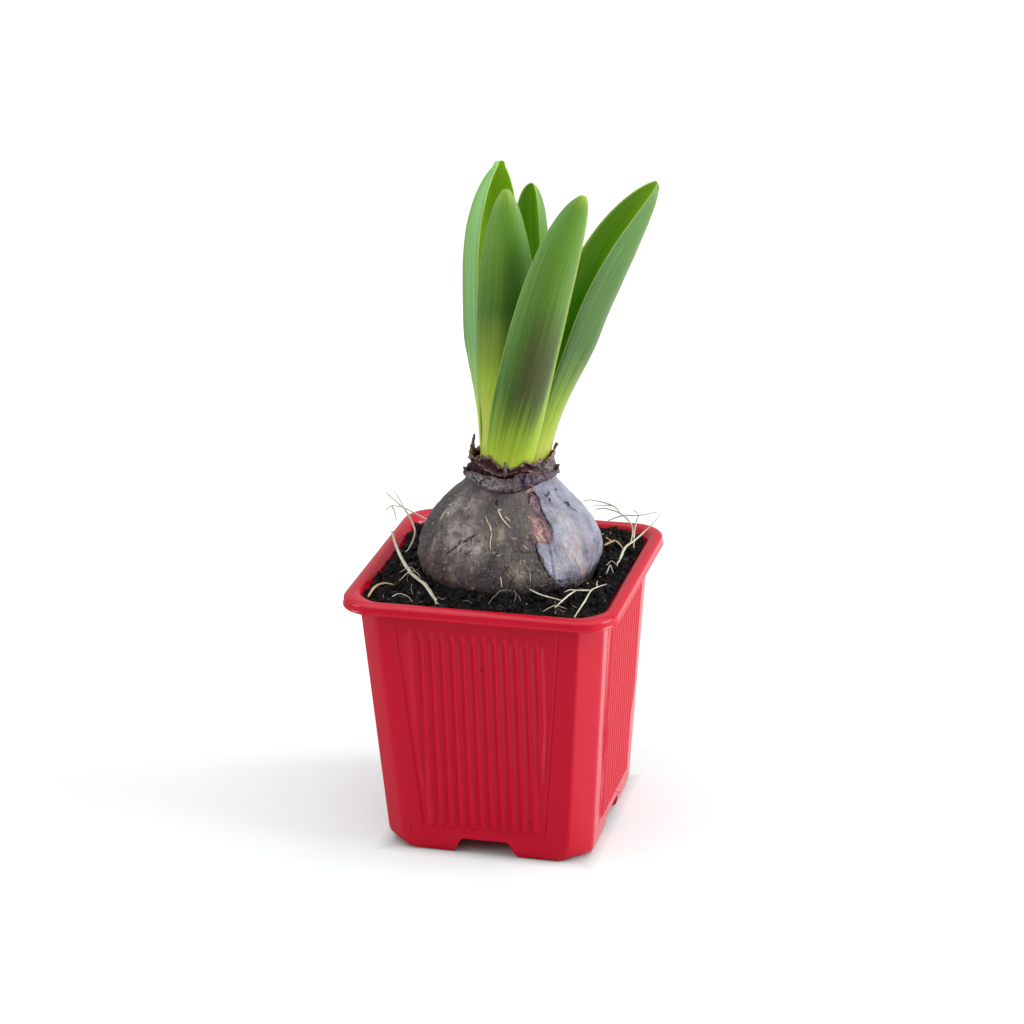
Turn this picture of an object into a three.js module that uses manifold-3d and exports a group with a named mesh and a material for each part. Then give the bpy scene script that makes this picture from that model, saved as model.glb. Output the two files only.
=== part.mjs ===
import * as THREE from 'three';
import { mergeVertices } from 'three/addons/utils/BufferGeometryUtils.js';
import Module from 'manifold-3d';

// Sprouting hyacinth bulb in a square plastic nursery pot. Millimetres, +Z up.
// The origin is on the ground, under the middle of the pot; -Y is the front.

const touchGap = 0.3;

const potSize = {
  height: 90,
  rimHalf: 45,
  rimCorner: 11.5,
  rimDrop: 3.7,
  rimSkirt: 1.3,
  rimRound: 0.9,
  wall: 1,
  wallHalfTop: 40.5,
  wallHalfBase: 34.3,
  chamfer: 6.9,
  footHalf: 32.2,
  footChamfer: 9.7,
  footRise: 5,
  floor: 1.2,
};

const ribSize = { count: 13, pitch: 3.45, relief: 0.4, bottom: 9, top: 79.5, fade: 2 };

const grooveSize = { halfTop: 26.8, halfBase: 20.2, width: 0.8, depth: 0.35, bottom: 8.5, top: 83.5 };

const channelSize = { rise: 6, halfRoof: 7.9, halfGround: 10.8, roof: 1.1 };

const drainSize = { slotWidth: 3.5, slotLength: 12, slotCentre: 18, holeRadius: 1.8 };

const soilSize = {
  level: 87.1, lump: 0.6, cells: 24, seed: 7,
  moundBack: 1.2, moundFront: 4.2, moundRadius: 27.5, moundWidth: 7,
};

const bulbAxis = [1.3, 0];
// Radius and height of the bulb's outline, from its root plate up to its neck.
const bulbOutline = [
  [10, 69.6], [15, 71.2], [21.5, 76], [26.3, 83], [28.9, 89.5], [30, 95.2], [29.2, 100.4],
  [26.8, 105], [23.9, 109], [20.4, 112.8], [17.2, 115.8], [15.2, 117.9], [14.6, 119],
];
const neckSize = { top: 121.6, outer: 14.5, inner: 13.8, seat: 118.4, start: 112 };
const bulbRelief = { lobes: 0.5, panelTurn: -48, panelRise: 0.7 };

const neckAxis = [1.8, 0];
const leafSize = { steps: 20, across: 7, thickness: 2.6, thinnest: 0.6 };

// Each leaf: the turn of its back at the root and above, how far it is rolled, and its guide points.
const leafPlan = [
  {
    name: 'leaf_front', rootTurn: -83.5, turn: -55.5, rootRoll: 35, roll: 60, rootHeight: 119.5,
    rootRadius: 10.6, halfWidth: 9.2, widest: 0.45, taper: 0.6,
    low: [5, -10.5, 140], high: [18.5, -13.3, 199], tip: [30.6, -15.4, 218.5],
  },
  {
    name: 'leaf_front_left', rootTurn: -157, turn: -82, rootRoll: 31, roll: 59, rootHeight: 119.7,
    rootRadius: 10.6, halfWidth: 9.3, widest: 0.6, taper: 0.61,
    low: [5, -3.3, 146.5], high: [2, -5.1, 178.5], tip: [3.3, -4.2, 216.3],
  },
  {
    name: 'leaf_back_left', rootTurn: 134.5, turn: 147.5, rootRoll: 35, roll: 107, rootHeight: 119.8,
    rootRadius: 10.3, halfWidth: 9, widest: 0.65, taper: 0.82,
    low: [-3.3, 9.5, 139], high: [-3.3, 10.5, 195], tip: [-2.2, 11.4, 221],
  },
  {
    name: 'leaf_back', rootTurn: 50, turn: 51, rootRoll: 45, roll: 83, rootHeight: 119.5,
    rootRadius: 6.6, halfWidth: 6.9, widest: 0.68, taper: 0.68,
    low: [11.9, 6.7, 154], high: [3, 6.6, 202.6], tip: [8.4, 8.8, 215],
  },
  {
    name: 'leaf_right', rootTurn: 2, turn: 33, rootRoll: 44, roll: 106, rootHeight: 119.9,
    rootRadius: 10.6, halfWidth: 9.7, widest: 0.63, taper: 0.63,
    low: [10.9, 5.3, 151], high: [14.2, 16.3, 188.5], tip: [44, 28.8, 212],
  },
];

// Loose roots: a strand is a radius and the points it runs through.
const rootPlan = [
  {
    name: 'root_left_long',
    strands: [
      {
        radius: 0.75,
        points: [
          [-14, -34, 87.6], [-20, -26, 88.6], [-27, -16.5, 89.2],
          [-34, -5, 90.2], [-38, 1.5, 92.6], [-40.4, 6, 95.2],
        ],
      },
    ],
  },
  {
    name: 'roots_left_curl',
    strands: [
      {
        radius: 0.6,
        points: [
          [-37, 6, 86], [-35.6, 8.3, 88.5], [-34.2, 9.5, 91.5], [-34, 10.5, 95],
          [-37.6, 13.1, 100], [-41.1, 13.4, 103], [-44.4, 14.5, 105.2],
        ],
      },
      { radius: 0.4, points: [[-37.6, 13.1, 100], [-40.2, 15.6, 102.6], [-42.6, 17, 105.4]] },
    ],
  },
  {
    name: 'roots_left_hook',
    strands: [
      {
        radius: 0.5,
        points: [
          [-28.5, 27, 86], [-32, 26.5, 90.5], [-38.6, 25, 95],
          [-42, 22.5, 97.6], [-43.8, 17, 99.8], [-44.4, 13, 99.8],
        ],
      },
      { radius: 0.4, points: [[-43.8, 17, 99.8], [-43.2, 18, 98], [-42.2, 17.3, 94.6]] },
    ],
  },
  {
    name: 'roots_right',
    strands: [
      {
        radius: 0.7,
        points: [
          [34, 10, 86], [35, 13.5, 88.6], [36.4, 22, 90.8],
          [39.7, 26.5, 92.6], [42.2, 30, 95.4], [44.1, 35, 98],
        ],
      },
      {
        radius: 0.45,
        points: [
          [36.4, 22, 90.8], [36.4, 26, 93.4], [35.2, 28, 95.8],
          [31.2, 30.8, 97.8], [25, 35, 97.6], [22, 36, 96.6],
        ],
      },
      {
        radius: 0.4,
        points: [
          [37.2, 24, 86.5], [36.9, 25.4, 91.6], [37.1, 27.6, 96], [37.8, 28.4, 98.8], [36, 28.6, 100.2],
        ],
      },
      { radius: 0.4, points: [[31.2, 30.8, 97.8], [28, 33.4, 99.4], [20.4, 36.6, 99.6], [17, 37, 98.8]] },
      { radius: 0.4, points: [[27, 31.4, 94.8], [32, 31.2, 97], [37.6, 28.6, 98.4], [44.3, 29, 100]] },
    ],
  },
  {
    name: 'twig_right',
    strands: [
      { radius: 0.5, points: [[27.8, 19.4, 89.4], [31.4, 21, 91.6], [34.2, 20.6, 87.6]] },
      { radius: 0.4, points: [[31.4, 21, 91.6], [29.6, 22.2, 91.6], [28, 22.8, 91]] },
    ],
  },
  {
    name: 'roots_front_right',
    strands: [
      {
        radius: 0.55,
        points: [
          [30.8, -36, 87.8], [31.7, -27.5, 88.8], [32.6, -18, 89.4],
          [33.6, -12.5, 89.4], [35.6, -9.6, 88.6],
        ],
      },
      { radius: 0.5, points: [[24.1, -21.4, 89.8], [28.1, -20, 89.9], [32.6, -18, 89.4]] },
      { radius: 0.5, points: [[28.1, -20, 89.9], [26, -25, 89.2], [23.2, -31.5, 88]] },
      { radius: 0.45, points: [[14.6, -27.6, 92.6], [18.6, -28, 91.2], [25.4, -28.4, 89.2]] },
    ],
  },
  {
    name: 'twig_front_left',
    strands: [
      {
        radius: 0.5,
        points: [[-37.2, -33, 87.8], [-36.6, -27.6, 89], [-34.4, -24.6, 89.4], [-31.4, -23.4, 88.6]],
      },
    ],
  },
];

const collarPlan = [
  {
    name: 'tunic_collar_lower', inner: 14.9, outer: 15.7, bottom: 119.5, top: 122.4, flare: 0.9,
    tear: 0.9, seed: 11, slivers: [],
  },
  {
    name: 'tunic_collar_upper', inner: 12.45, outer: 13.05, bottom: 118.9, top: 126.4, flare: 0.8,
    tear: 1.1, seed: 29, slivers: [{ turn: 186, rise: 6, width: 14 }, { turn: 8, rise: 5, width: 12 }],
  },
];

const colours = {
  pot: 0xb01a28,
  soil: 0x17120f,
  bulb: 0x6b5f5e,
  collar: 0x4a2f2f,
  leaf: 0x5f9440,
  root: 0xd8cfae,
  twig: 0xc39b5c,
};

const wasm = await Module();
wasm.setup();

// A seeded draw between 0 and 1.
function makeDraw(seed) {
  let state = seed;
  return () => {
    state = (state * 16807) % 2147483647;
    return state / 2147483647;
  };
}

// Solids and geometries

function plainGeometry(geometry) {
  geometry.deleteAttribute('normal');
  geometry.deleteAttribute('uv');
  return mergeVertices(geometry, 1e-4);
}

function toSolid(geometry) {
  const plain = plainGeometry(geometry.clone());
  const vertProperties = new Float32Array(plain.attributes.position.array);
  const triVerts = new Uint32Array(plain.index.array);
  return new wasm.Manifold(new wasm.Mesh({ numProp: 3, vertProperties, triVerts }));
}

function toGeometry(solid) {
  const cut = solid.getMesh();
  const geometry = new THREE.BufferGeometry();
  geometry.setAttribute('position', new THREE.BufferAttribute(new Float32Array(cut.vertProperties), 3));
  geometry.setIndex(new THREE.BufferAttribute(new Uint32Array(cut.triVerts), 1));
  geometry.computeVertexNormals();
  return geometry;
}

function joinAll(solids) {
  return solids.reduce((whole, next) => whole.add(next));
}

// A closed tube of any section: place(side, step, onAxis) gives each point. Step 0 is its lower end.
function closedTube(sides, steps, place) {
  const geometry = plainGeometry(new THREE.CylinderGeometry(1, 1, 1, sides, steps));
  const position = geometry.attributes.position;
  const point = new THREE.Vector3();
  for (let i = 0; i < position.count; i += 1) {
    point.fromBufferAttribute(position, i);
    const step = Math.round((point.y + 0.5) * steps);
    const onAxis = Math.hypot(point.x, point.z) < 0.5;
    const turn = Math.atan2(point.x, point.z) / (2 * Math.PI);
    const side = (Math.round(turn * sides) + sides) % sides;
    const target = place(side, step, onAxis);
    position.setXYZ(i, target.x, target.y, target.z);
  }
  return geometry;
}

// A turned body about +Z from [radius, height] pairs, with an optional rule that moves its points.
function turned(pairs, segments, move) {
  const profile = pairs.map(([radius, height]) => new THREE.Vector2(radius, height));
  const geometry = plainGeometry(new THREE.LatheGeometry(profile, segments));
  const position = geometry.attributes.position;
  for (let i = 0; i < position.count; i += 1) {
    const point = new THREE.Vector3(position.getZ(i), position.getX(i), position.getY(i));
    if (move) {
      move(point);
    }
    position.setXYZ(i, point.x, point.y, point.z);
  }
  return geometry;
}

// The pot

function wallHalf(z) {
  const { height, wallHalfBase, wallHalfTop } = potSize;
  return wallHalfBase + (wallHalfTop - wallHalfBase) * z / height;
}

// Half width and corner chamfer of the pot's outside at height z; the foot rounds under.
function potSection(z) {
  const { footHalf, footChamfer, footRise, chamfer } = potSize;
  if (z >= footRise) {
    return { half: wallHalf(z), chamfer };
  }
  const up = 1 - Math.max(z, 0) / footRise;
  const turnIn = 1 - Math.sqrt(1 - up * up);
  return {
    half: wallHalf(z) + (footHalf - wallHalf(0)) * turnIn,
    chamfer: chamfer + (footChamfer - chamfer) * turnIn,
  };
}

// How much of a relief that runs from bottom to top stands at height z.
function reliefAt(z, { bottom, top, fade }) {
  const rise = THREE.MathUtils.clamp((z - bottom) / fade, 0, 1);
  const fall = THREE.MathUtils.clamp((top - z) / fade, 0, 1);
  return Math.min(rise, fall);
}

// Points of one face from its left end to its right end: chamfer corner, groove, ribs, groove, corner.
function facePoints(z) {
  const { half, chamfer } = potSection(z);
  const rib = ribSize.relief * reliefAt(z, ribSize);
  const groove = grooveSize.depth * reliefAt(z, { ...grooveSize, fade: 2 });
  const share = (z - grooveSize.bottom) / (grooveSize.top - grooveSize.bottom);
  const risen = THREE.MathUtils.clamp(share, 0, 1);
  const edge = THREE.MathUtils.lerp(grooveSize.halfBase, grooveSize.halfTop, risen);
  const points = [];
  const last = 2 * ribSize.count;
  for (let k = 0; k <= last; k += 1) {
    const wanted = (k - ribSize.count) * ribSize.pitch / 2;
    const room = edge - grooveSize.width / 2 - 0.12 * (1 + Math.min(k, last - k));
    const along = THREE.MathUtils.clamp(wanted, -room, room);
    const kept = Math.abs(wanted) <= room ? 1 : 0;
    points.push([along, half + (k % 2) * rib * kept]);
  }
  const side = [
    [edge - grooveSize.width / 2, half], [edge, half - groove], [edge + grooveSize.width / 2, half],
    [half - chamfer, half],
  ];
  const left = side.map(([along, out]) => [-along, out]).reverse();
  return [...left, ...points, ...side];
}

// The whole section as points round the pot, counter-clockwise from the right face.
function ribbedSection(z) {
  const face = facePoints(z);
  const round = [];
  for (let quarter = 0; quarter < 4; quarter += 1) {
    const turn = quarter * Math.PI / 2;
    face.forEach(([along, out]) => {
      const x = out * Math.cos(turn) - along * Math.sin(turn);
      const y = out * Math.sin(turn) + along * Math.cos(turn);
      round.push(new THREE.Vector3(x, y, z));
    });
  }
  return round;
}

function octagonSection(half, chamfer, z) {
  const round = [];
  for (let quarter = 0; quarter < 4; quarter += 1) {
    const turn = quarter * Math.PI / 2;
    [-(half - chamfer), half - chamfer].forEach((along) => {
      const x = half * Math.cos(turn) - along * Math.sin(turn);
      const y = half * Math.sin(turn) + along * Math.cos(turn);
      round.push(new THREE.Vector3(x, y, z));
    });
  }
  return round;
}

function stackOf(sections) {
  const sides = sections[0].length;
  return closedTube(sides, sections.length - 1, (side, step, onAxis) => {
    const ring = sections[step];
    return onAxis ? new THREE.Vector3(0, 0, ring[0].z) : ring[side];
  });
}

function roundedSquare(half, corner) {
  const shape = new THREE.Shape();
  const straight = half - corner;
  shape.moveTo(half, -straight);
  for (let quarter = 0; quarter < 4; quarter += 1) {
    const turn = quarter * Math.PI / 2;
    const x = straight * (Math.cos(turn) - Math.sin(turn));
    const y = straight * (Math.sin(turn) + Math.cos(turn));
    shape.absarc(x, y, corner, turn, turn + Math.PI / 2, false);
  }
  return shape;
}

// The space inside the pot, drawn in by a gap all round.
function potInside(gap, topHeight) {
  const { wall, floor, height, footRise } = potSize;
  const heights = [floor + gap, footRise, height - 1.2];
  const sections = heights.map((z) => {
    const outside = potSection(z);
    return octagonSection(outside.half - wall - gap, outside.chamfer - 0.4 * wall, z);
  });
  const mouth = wallHalf(height) - gap;
  sections.push(octagonSection(mouth, potSize.chamfer, height));
  sections.push(octagonSection(mouth, potSize.chamfer, topHeight));
  return toSolid(stackOf(sections)).subtract(channelCross(channelSize.roof + gap, -1));
}

// Two crossed channels under the base, thickened all round.
function channelCross(extra, ground) {
  const { rise, halfRoof, halfGround } = channelSize;
  const slope = (halfGround - halfRoof) / rise;
  const shape = new THREE.Shape();
  const top = rise + extra;
  shape.moveTo(-(halfGround + extra - slope * ground), ground);
  shape.lineTo(halfGround + extra - slope * ground, ground);
  shape.lineTo(halfRoof + extra - slope * extra, top);
  shape.lineTo(-(halfRoof + extra - slope * extra), top);
  const length = 2 * potSize.rimHalf;
  const bar = new THREE.ExtrudeGeometry(shape, { depth: length, bevelEnabled: false });
  bar.translate(0, 0, -length / 2);
  bar.rotateX(Math.PI / 2);
  const first = toSolid(bar);
  const second = toSolid(bar.clone().rotateZ(Math.PI / 2));
  return first.add(second);
}

function makePot() {
  const { height, rimHalf, rimCorner, rimDrop, rimSkirt, rimRound, footRise } = potSize;
  const ribBase = ribSize.bottom;
  const ribTop = ribSize.top;
  const heights = [
    0, 0.8, 2.2, footRise, grooveSize.bottom, ribBase, ribBase + ribSize.fade,
    ribTop - ribSize.fade, ribTop, grooveSize.top - 2, grooveSize.top, height - 1,
  ];
  const wallBody = toSolid(stackOf(heights.map(ribbedSection)));
  const lipShape = roundedSquare(rimHalf - rimRound, rimCorner - rimRound);
  const lip = new THREE.ExtrudeGeometry(lipShape, {
    depth: rimDrop - 2 * rimRound, curveSegments: 5, bevelEnabled: true,
    bevelThickness: rimRound, bevelSize: rimRound, bevelSegments: 2,
  });
  lip.translate(0, 0, height - rimDrop + rimRound);
  const underShape = roundedSquare(rimHalf - rimSkirt, rimCorner - rimSkirt);
  const underLip = new THREE.ExtrudeGeometry(underShape, {
    depth: rimDrop, curveSegments: 5, bevelEnabled: false,
  });
  underLip.translate(0, 0, height - 1.6 - rimDrop);
  const lipSolid = toSolid(lip).subtract(toSolid(underLip));
  const { slotWidth, slotLength, slotCentre, holeRadius } = drainSize;
  const drains = [toSolid(new THREE.CylinderGeometry(holeRadius, holeRadius, 10, 12).rotateX(Math.PI / 2))];
  for (let arm = 0; arm < 4; arm += 1) {
    const slot = new THREE.BoxGeometry(slotLength, slotWidth, 10);
    slot.translate(slotCentre, 0, 0);
    slot.rotateZ(arm * Math.PI / 2);
    drains.push(toSolid(slot));
  }
  const drainHoles = joinAll(drains).translate([0, 0, channelSize.rise]);
  return wallBody
    .add(lipSolid)
    .subtract(potInside(0, height + 5))
    .subtract(channelCross(0, -1))
    .subtract(drainHoles);
}

// The bulb

// Swells and dents of the skin, and the panel of bare scale that stands out at the right.
function moveBulbPoint(point, grow) {
  const radius = Math.hypot(point.x, point.y);
  const turn = Math.atan2(point.y, point.x);
  const body = THREE.MathUtils.smoothstep(radius, 15, 24);
  const ripple = 0.6 * Math.sin(5 * turn + 0.13 * point.z) + 0.4 * Math.sin(8 * turn - 1);
  const swell = Math.sin(3 * turn + 0.6) + ripple;
  const degrees = turn * THREE.MathUtils.RAD2DEG;
  const fromPanel = THREE.MathUtils.euclideanModulo(degrees - bulbRelief.panelTurn, 360);
  const panel = fromPanel < 110 ? bulbRelief.panelRise * (1 - fromPanel / 110) : 0;
  const offset = body * (bulbRelief.lobes * swell / 2 + panel) + grow;
  const scale = radius > 1e-3 ? (radius + offset) / radius : 1;
  const neck = THREE.MathUtils.smoothstep(point.z, neckSize.start, neckSize.seat);
  point.x = point.x * scale + THREE.MathUtils.lerp(bulbAxis[0], neckAxis[0], neck);
  point.y = point.y * scale + THREE.MathUtils.lerp(bulbAxis[1], neckAxis[1], neck);
}

function bulbPairs() {
  const below = [[0, bulbOutline[0][1] + 0.6], ...bulbOutline];
  const { top, outer, inner, seat } = neckSize;
  return [...below, [outer, top - 0.4], [outer - 0.3, top], [inner + 0.1, top], [inner, seat], [0, seat]];
}

function makeBulb() {
  return turned(bulbPairs(), 44, (point) => moveBulbPoint(point, 0));
}

// The hole that the bulb fills in the soil.
function bulbHollow() {
  const top = bulbOutline.at(-1)[1];
  const lowest = bulbOutline[0][1] - touchGap;
  const grown = [[0, lowest], [10, lowest], ...bulbOutline.slice(1)];
  return toSolid(turned([...grown, [0, top]], 44, (point) => moveBulbPoint(point, touchGap + 0.15)));
}

// Torn rings of dry skin round the neck

function makeCollar(plan) {
  const segments = 40;
  const draw = makeDraw(plan.seed);
  const tears = Array.from({ length: segments }, () => (draw() - 0.5) * 2 * plan.tear);
  const span = plan.top - plan.bottom;
  const pairs = [
    [plan.outer - 0.1, plan.bottom], [plan.outer, plan.bottom + span * 0.4], [plan.outer, plan.top],
    [plan.inner, plan.top], [plan.inner, plan.bottom + span * 0.4], [plan.inner, plan.bottom],
    [plan.outer - 0.1, plan.bottom],
  ];
  return turned(pairs, segments, (point) => {
    const radius = Math.hypot(point.x, point.y);
    const turn = Math.atan2(point.y, point.x) * THREE.MathUtils.RAD2DEG;
    const slot = THREE.MathUtils.euclideanModulo(Math.round(turn * segments / 360), segments);
    const high = THREE.MathUtils.clamp((point.z - plan.bottom) / span, 0, 1);
    const sliver = plan.slivers.reduce((most, { turn: middle, rise, width }) => {
      const apart = Math.abs(THREE.MathUtils.euclideanModulo(turn - middle + 180, 360) - 180);
      return Math.max(most, rise * Math.max(0, 1 - apart / width));
    }, 0);
    const lift = high > 0.9 ? tears[slot] + sliver : 0;
    const spread = high * plan.flare * (1 + 0.35 * Math.sin(5 * turn * THREE.MathUtils.DEG2RAD));
    const scale = (radius + spread + 0.12 * Math.max(lift, 0) * high) / radius;
    point.set(point.x * scale + neckAxis[0], point.y * scale + neckAxis[1], point.z + lift);
  });
}

// Leaves

function leafWidth(plan, rootWidth, t) {
  const grown = Math.sin(Math.min(t / plan.widest, 1) * Math.PI / 2);
  const full = rootWidth + (plan.halfWidth - rootWidth) * grown;
  const past = THREE.MathUtils.clamp((t - plan.widest) / (1 - plan.widest), 0, 1);
  return Math.max(full * (1 - past * past) ** plan.taper, 0.5);
}

// A thick leaf rolled into a channel, its two edges meeting in a hooded tip.
function makeLeaf(plan) {
  const { steps, across, thickness, thinnest } = leafSize;
  const rad = THREE.MathUtils.degToRad;
  const rootWidth = plan.rootRadius * Math.sin(rad(plan.rootRoll));
  const rootOut = plan.rootRadius * Math.cos(rad(plan.rootRoll));
  const root = new THREE.Vector3(
    neckAxis[0] + rootOut * Math.cos(rad(plan.rootTurn)),
    neckAxis[1] + rootOut * Math.sin(rad(plan.rootTurn)),
    plan.rootHeight,
  );
  const guides = [plan.low, plan.high, plan.tip].map((xyz) => new THREE.Vector3(...xyz));
  const line = new THREE.CubicBezierCurve3(root, ...guides);
  const sides = 2 * across;
  return closedTube(sides, steps, (side, step, onAxis) => {
    const t = 1 - (1 - step / steps) ** 1.35;
    const centre = line.getPoint(t);
    const along = line.getTangent(Math.min(t, 0.999));
    const settle = THREE.MathUtils.smoothstep(t, 0, 0.5);
    const turn = rad(THREE.MathUtils.lerp(plan.rootTurn, plan.turn, settle));
    const roll = rad(THREE.MathUtils.lerp(plan.rootRoll, plan.roll, settle));
    const back = new THREE.Vector3(Math.cos(turn), Math.sin(turn), 0);
    back.addScaledVector(along, -back.dot(along)).normalize();
    const sideways = new THREE.Vector3().crossVectors(along, back);
    const width = leafWidth(plan, rootWidth, t);
    const radius = width / Math.sin(roll);
    const outer = side < across;
    const place = outer ? side / (across - 1) : (sides - 1 - side) / (across - 1);
    const u = onAxis ? 0 : 2 * place - 1;
    const flesh = thickness * (1 - 0.55 * t) * (0.3 + 0.7 * Math.cos(u * Math.PI / 2) ** 0.8);
    const thick = Math.min(Math.max(flesh, thinnest), width);
    const layer = onAxis ? 0 : (outer ? 0.5 : -0.5);
    const reach = radius + layer * thick;
    const out = reach * Math.cos(u * roll) - radius * Math.cos(roll);
    const aside = reach * Math.sin(u * roll);
    return centre.addScaledVector(back, out).addScaledVector(sideways, aside);
  });
}

// Roots

function strandTube({ radius, points }, grow, sides) {
  const route = points.map((xyz) => new THREE.Vector3(...xyz));
  [[0, 1], [route.length - 1, route.length - 2]].forEach(([end, next]) => {
    route[end].add(route[end].clone().sub(route[next]).setLength(grow));
  });
  const path = new THREE.CatmullRomCurve3(route);
  const section = new THREE.Shape();
  for (let i = 0; i < sides; i += 1) {
    const turn = i * 2 * Math.PI / sides;
    const x = (radius + grow) * Math.cos(turn);
    const y = (radius + grow) * Math.sin(turn);
    section[i === 0 ? 'moveTo' : 'lineTo'](x, y);
  }
  const steps = Math.max(4, Math.round(path.getLength() / 4));
  return toSolid(new THREE.ExtrudeGeometry(section, { steps, extrudePath: path, bevelEnabled: false }));
}

function makeRoots(plan, grow = 0) {
  return joinAll(plan.strands.map((strand) => strandTube(strand, grow, 6)));
}

// The soil

function soilHeight(x, y, draw) {
  const { level, lump, moundBack, moundFront, moundRadius, moundWidth } = soilSize;
  const fromBulb = Math.hypot(x - bulbAxis[0], y - bulbAxis[1]);
  const facing = THREE.MathUtils.clamp(-y / moundRadius, 0, 1);
  const mound = THREE.MathUtils.lerp(moundBack, moundFront, facing);
  const heap = mound * Math.exp(-(((fromBulb - moundRadius) / moundWidth) ** 2));
  const rolls = 0.5 * Math.sin(0.31 * x + 0.7) * Math.cos(0.27 * y) + 0.4 * Math.sin(0.52 * y + 0.21 * x);
  const cornerLump = 3 * Math.exp(-(((x - 25) / 5) ** 2) - ((y - 35) / 4) ** 2);
  return level + heap + rolls + cornerLump + lump * (2 * draw() - 1);
}

function makeSoil(rootSolids) {
  const { cells, seed } = soilSize;
  const draw = makeDraw(seed);
  const span = 2 * potSize.wallHalfTop;
  const block = plainGeometry(new THREE.BoxGeometry(span, span, potSize.height, cells, cells, 1));
  const position = block.attributes.position;
  for (let i = 0; i < position.count; i += 1) {
    const top = position.getZ(i) > 0;
    position.setZ(i, top ? soilHeight(position.getX(i), position.getY(i), draw) : -5);
  }
  const filled = potInside(touchGap, potSize.height + 10).intersect(toSolid(block));
  return filled.subtract(bulbHollow()).subtract(joinAll(rootSolids));
}

// Assembly

function named(name, geometry, colour, roughness) {
  const material = new THREE.MeshStandardMaterial({ color: colour, roughness, metalness: 0 });
  const mesh = new THREE.Mesh(geometry, material);
  mesh.name = name;
  return mesh;
}

const plant = new THREE.Group();
plant.add(named('pot', toGeometry(makePot()), colours.pot, 0.38));
const rootHoles = rootPlan.map((plan) => makeRoots(plan, touchGap));
plant.add(named('soil', toGeometry(makeSoil(rootHoles)), colours.soil, 0.95));
plant.add(named('bulb', makeBulb(), colours.bulb, 0.6));
collarPlan.forEach((plan) => plant.add(named(plan.name, makeCollar(plan), colours.collar, 0.7)));
leafPlan.forEach((plan) => plant.add(named(plan.name, makeLeaf(plan), colours.leaf, 0.42)));
rootPlan.forEach((plan) => {
  const colour = plan.name.startsWith('twig') ? colours.twig : colours.root;
  plant.add(named(plan.name, toGeometry(makeRoots(plan)), colour, 0.6));
});

export default plant;
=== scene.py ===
import math
import random

import bmesh
import bpy
from mathutils import Matrix, Vector, noise


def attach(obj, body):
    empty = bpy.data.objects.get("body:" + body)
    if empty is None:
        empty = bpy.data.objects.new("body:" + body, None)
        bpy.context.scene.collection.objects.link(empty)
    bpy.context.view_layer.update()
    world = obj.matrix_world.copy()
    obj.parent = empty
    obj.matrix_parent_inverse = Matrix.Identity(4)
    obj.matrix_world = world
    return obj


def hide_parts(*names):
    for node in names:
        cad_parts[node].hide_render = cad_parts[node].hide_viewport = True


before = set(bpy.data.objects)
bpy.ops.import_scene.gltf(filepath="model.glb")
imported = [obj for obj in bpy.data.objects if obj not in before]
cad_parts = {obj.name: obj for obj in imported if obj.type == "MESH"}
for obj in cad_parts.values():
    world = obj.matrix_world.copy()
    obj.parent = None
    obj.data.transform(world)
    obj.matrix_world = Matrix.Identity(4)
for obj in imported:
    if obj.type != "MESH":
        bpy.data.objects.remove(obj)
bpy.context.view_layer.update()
print("frame loaded:", len(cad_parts), "nodes")

millimetre = 0.001


# small helpers for numbers

def clamp(value, low=0.0, high=1.0):
    return max(low, min(high, value))


def lerp(low, high, share):
    return low + (high - low) * share


def shareAt(value, low, high):  # share of the way from low to high
    return clamp((value - low) / (high - low))


def smooth(value, low, high):
    share = shareAt(value, low, high)
    return share * share * (3 - 2 * share)


def alongStops(stops, value, ease=smooth):  # stops are pairs of a place and what is read there
    for (low, first), (high, second) in zip(stops, stops[1:]):
        if value <= high:
            return lerp(first, second, ease(value, low, high))
    return stops[-1][1]


def bump(value, middle, width):
    return math.exp(-((value - middle) / width) ** 2)


def wrapTurn(turn):
    return (turn + 180) % 360 - 180


def throughPoints(path, start, t):  # Catmull-Rom from one point of the path to the next
    last = len(path) - 1
    p = [path[max(0, min(last, start + step))] for step in (-1, 0, 1, 2)]
    return 0.5 * (
        2 * p[1] + (p[2] - p[0]) * t + (2 * p[0] - 5 * p[1] + 4 * p[2] - p[3]) * t * t
        + (3 * p[1] - p[0] - 3 * p[2] + p[3]) * t ** 3
    )


def colour(red, green, blue):  # screen values 0 to 255, turned into linear ones
    linear = [((c / 255 + 0.055) / 1.055) ** 2.4 if c > 10 else c / 255 / 12.92 for c in (red, green, blue)]
    return (*linear, 1.0)


def palette(**shades):
    return {name: colour(*shade) for name, shade in shades.items()}


def rough(point, scale, octaves, seed=0.0):  # fractal noise about -1 to 1
    place = Vector(point) * scale + Vector((seed, seed * 0.7, -seed))
    return noise.fractal(place, 0.6, 2.0, octaves)


# small helpers for meshes

def placeObject(name, data):
    placed = bpy.data.objects.new(name, data)
    bpy.context.collection.objects.link(placed)
    return placed


def makeMesh(name, points, faces):
    mesh = bpy.data.meshes.new(name)
    mesh.from_pydata([Vector(p) * millimetre for p in points], [], faces)
    mesh.validate()
    mesh.shade_smooth()
    return placeObject(name, mesh)


def ringFaces(rows, sides, start=0, closedRows=False):
    faces = []
    for row in range(rows if closedRows else rows - 1):
        for side in range(sides):
            right = (side + 1) % sides
            above = (row + 1) % rows
            faces.append((
                start + row * sides + side, start + row * sides + right,
                start + above * sides + right, start + above * sides + side,
            ))
    return faces


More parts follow.
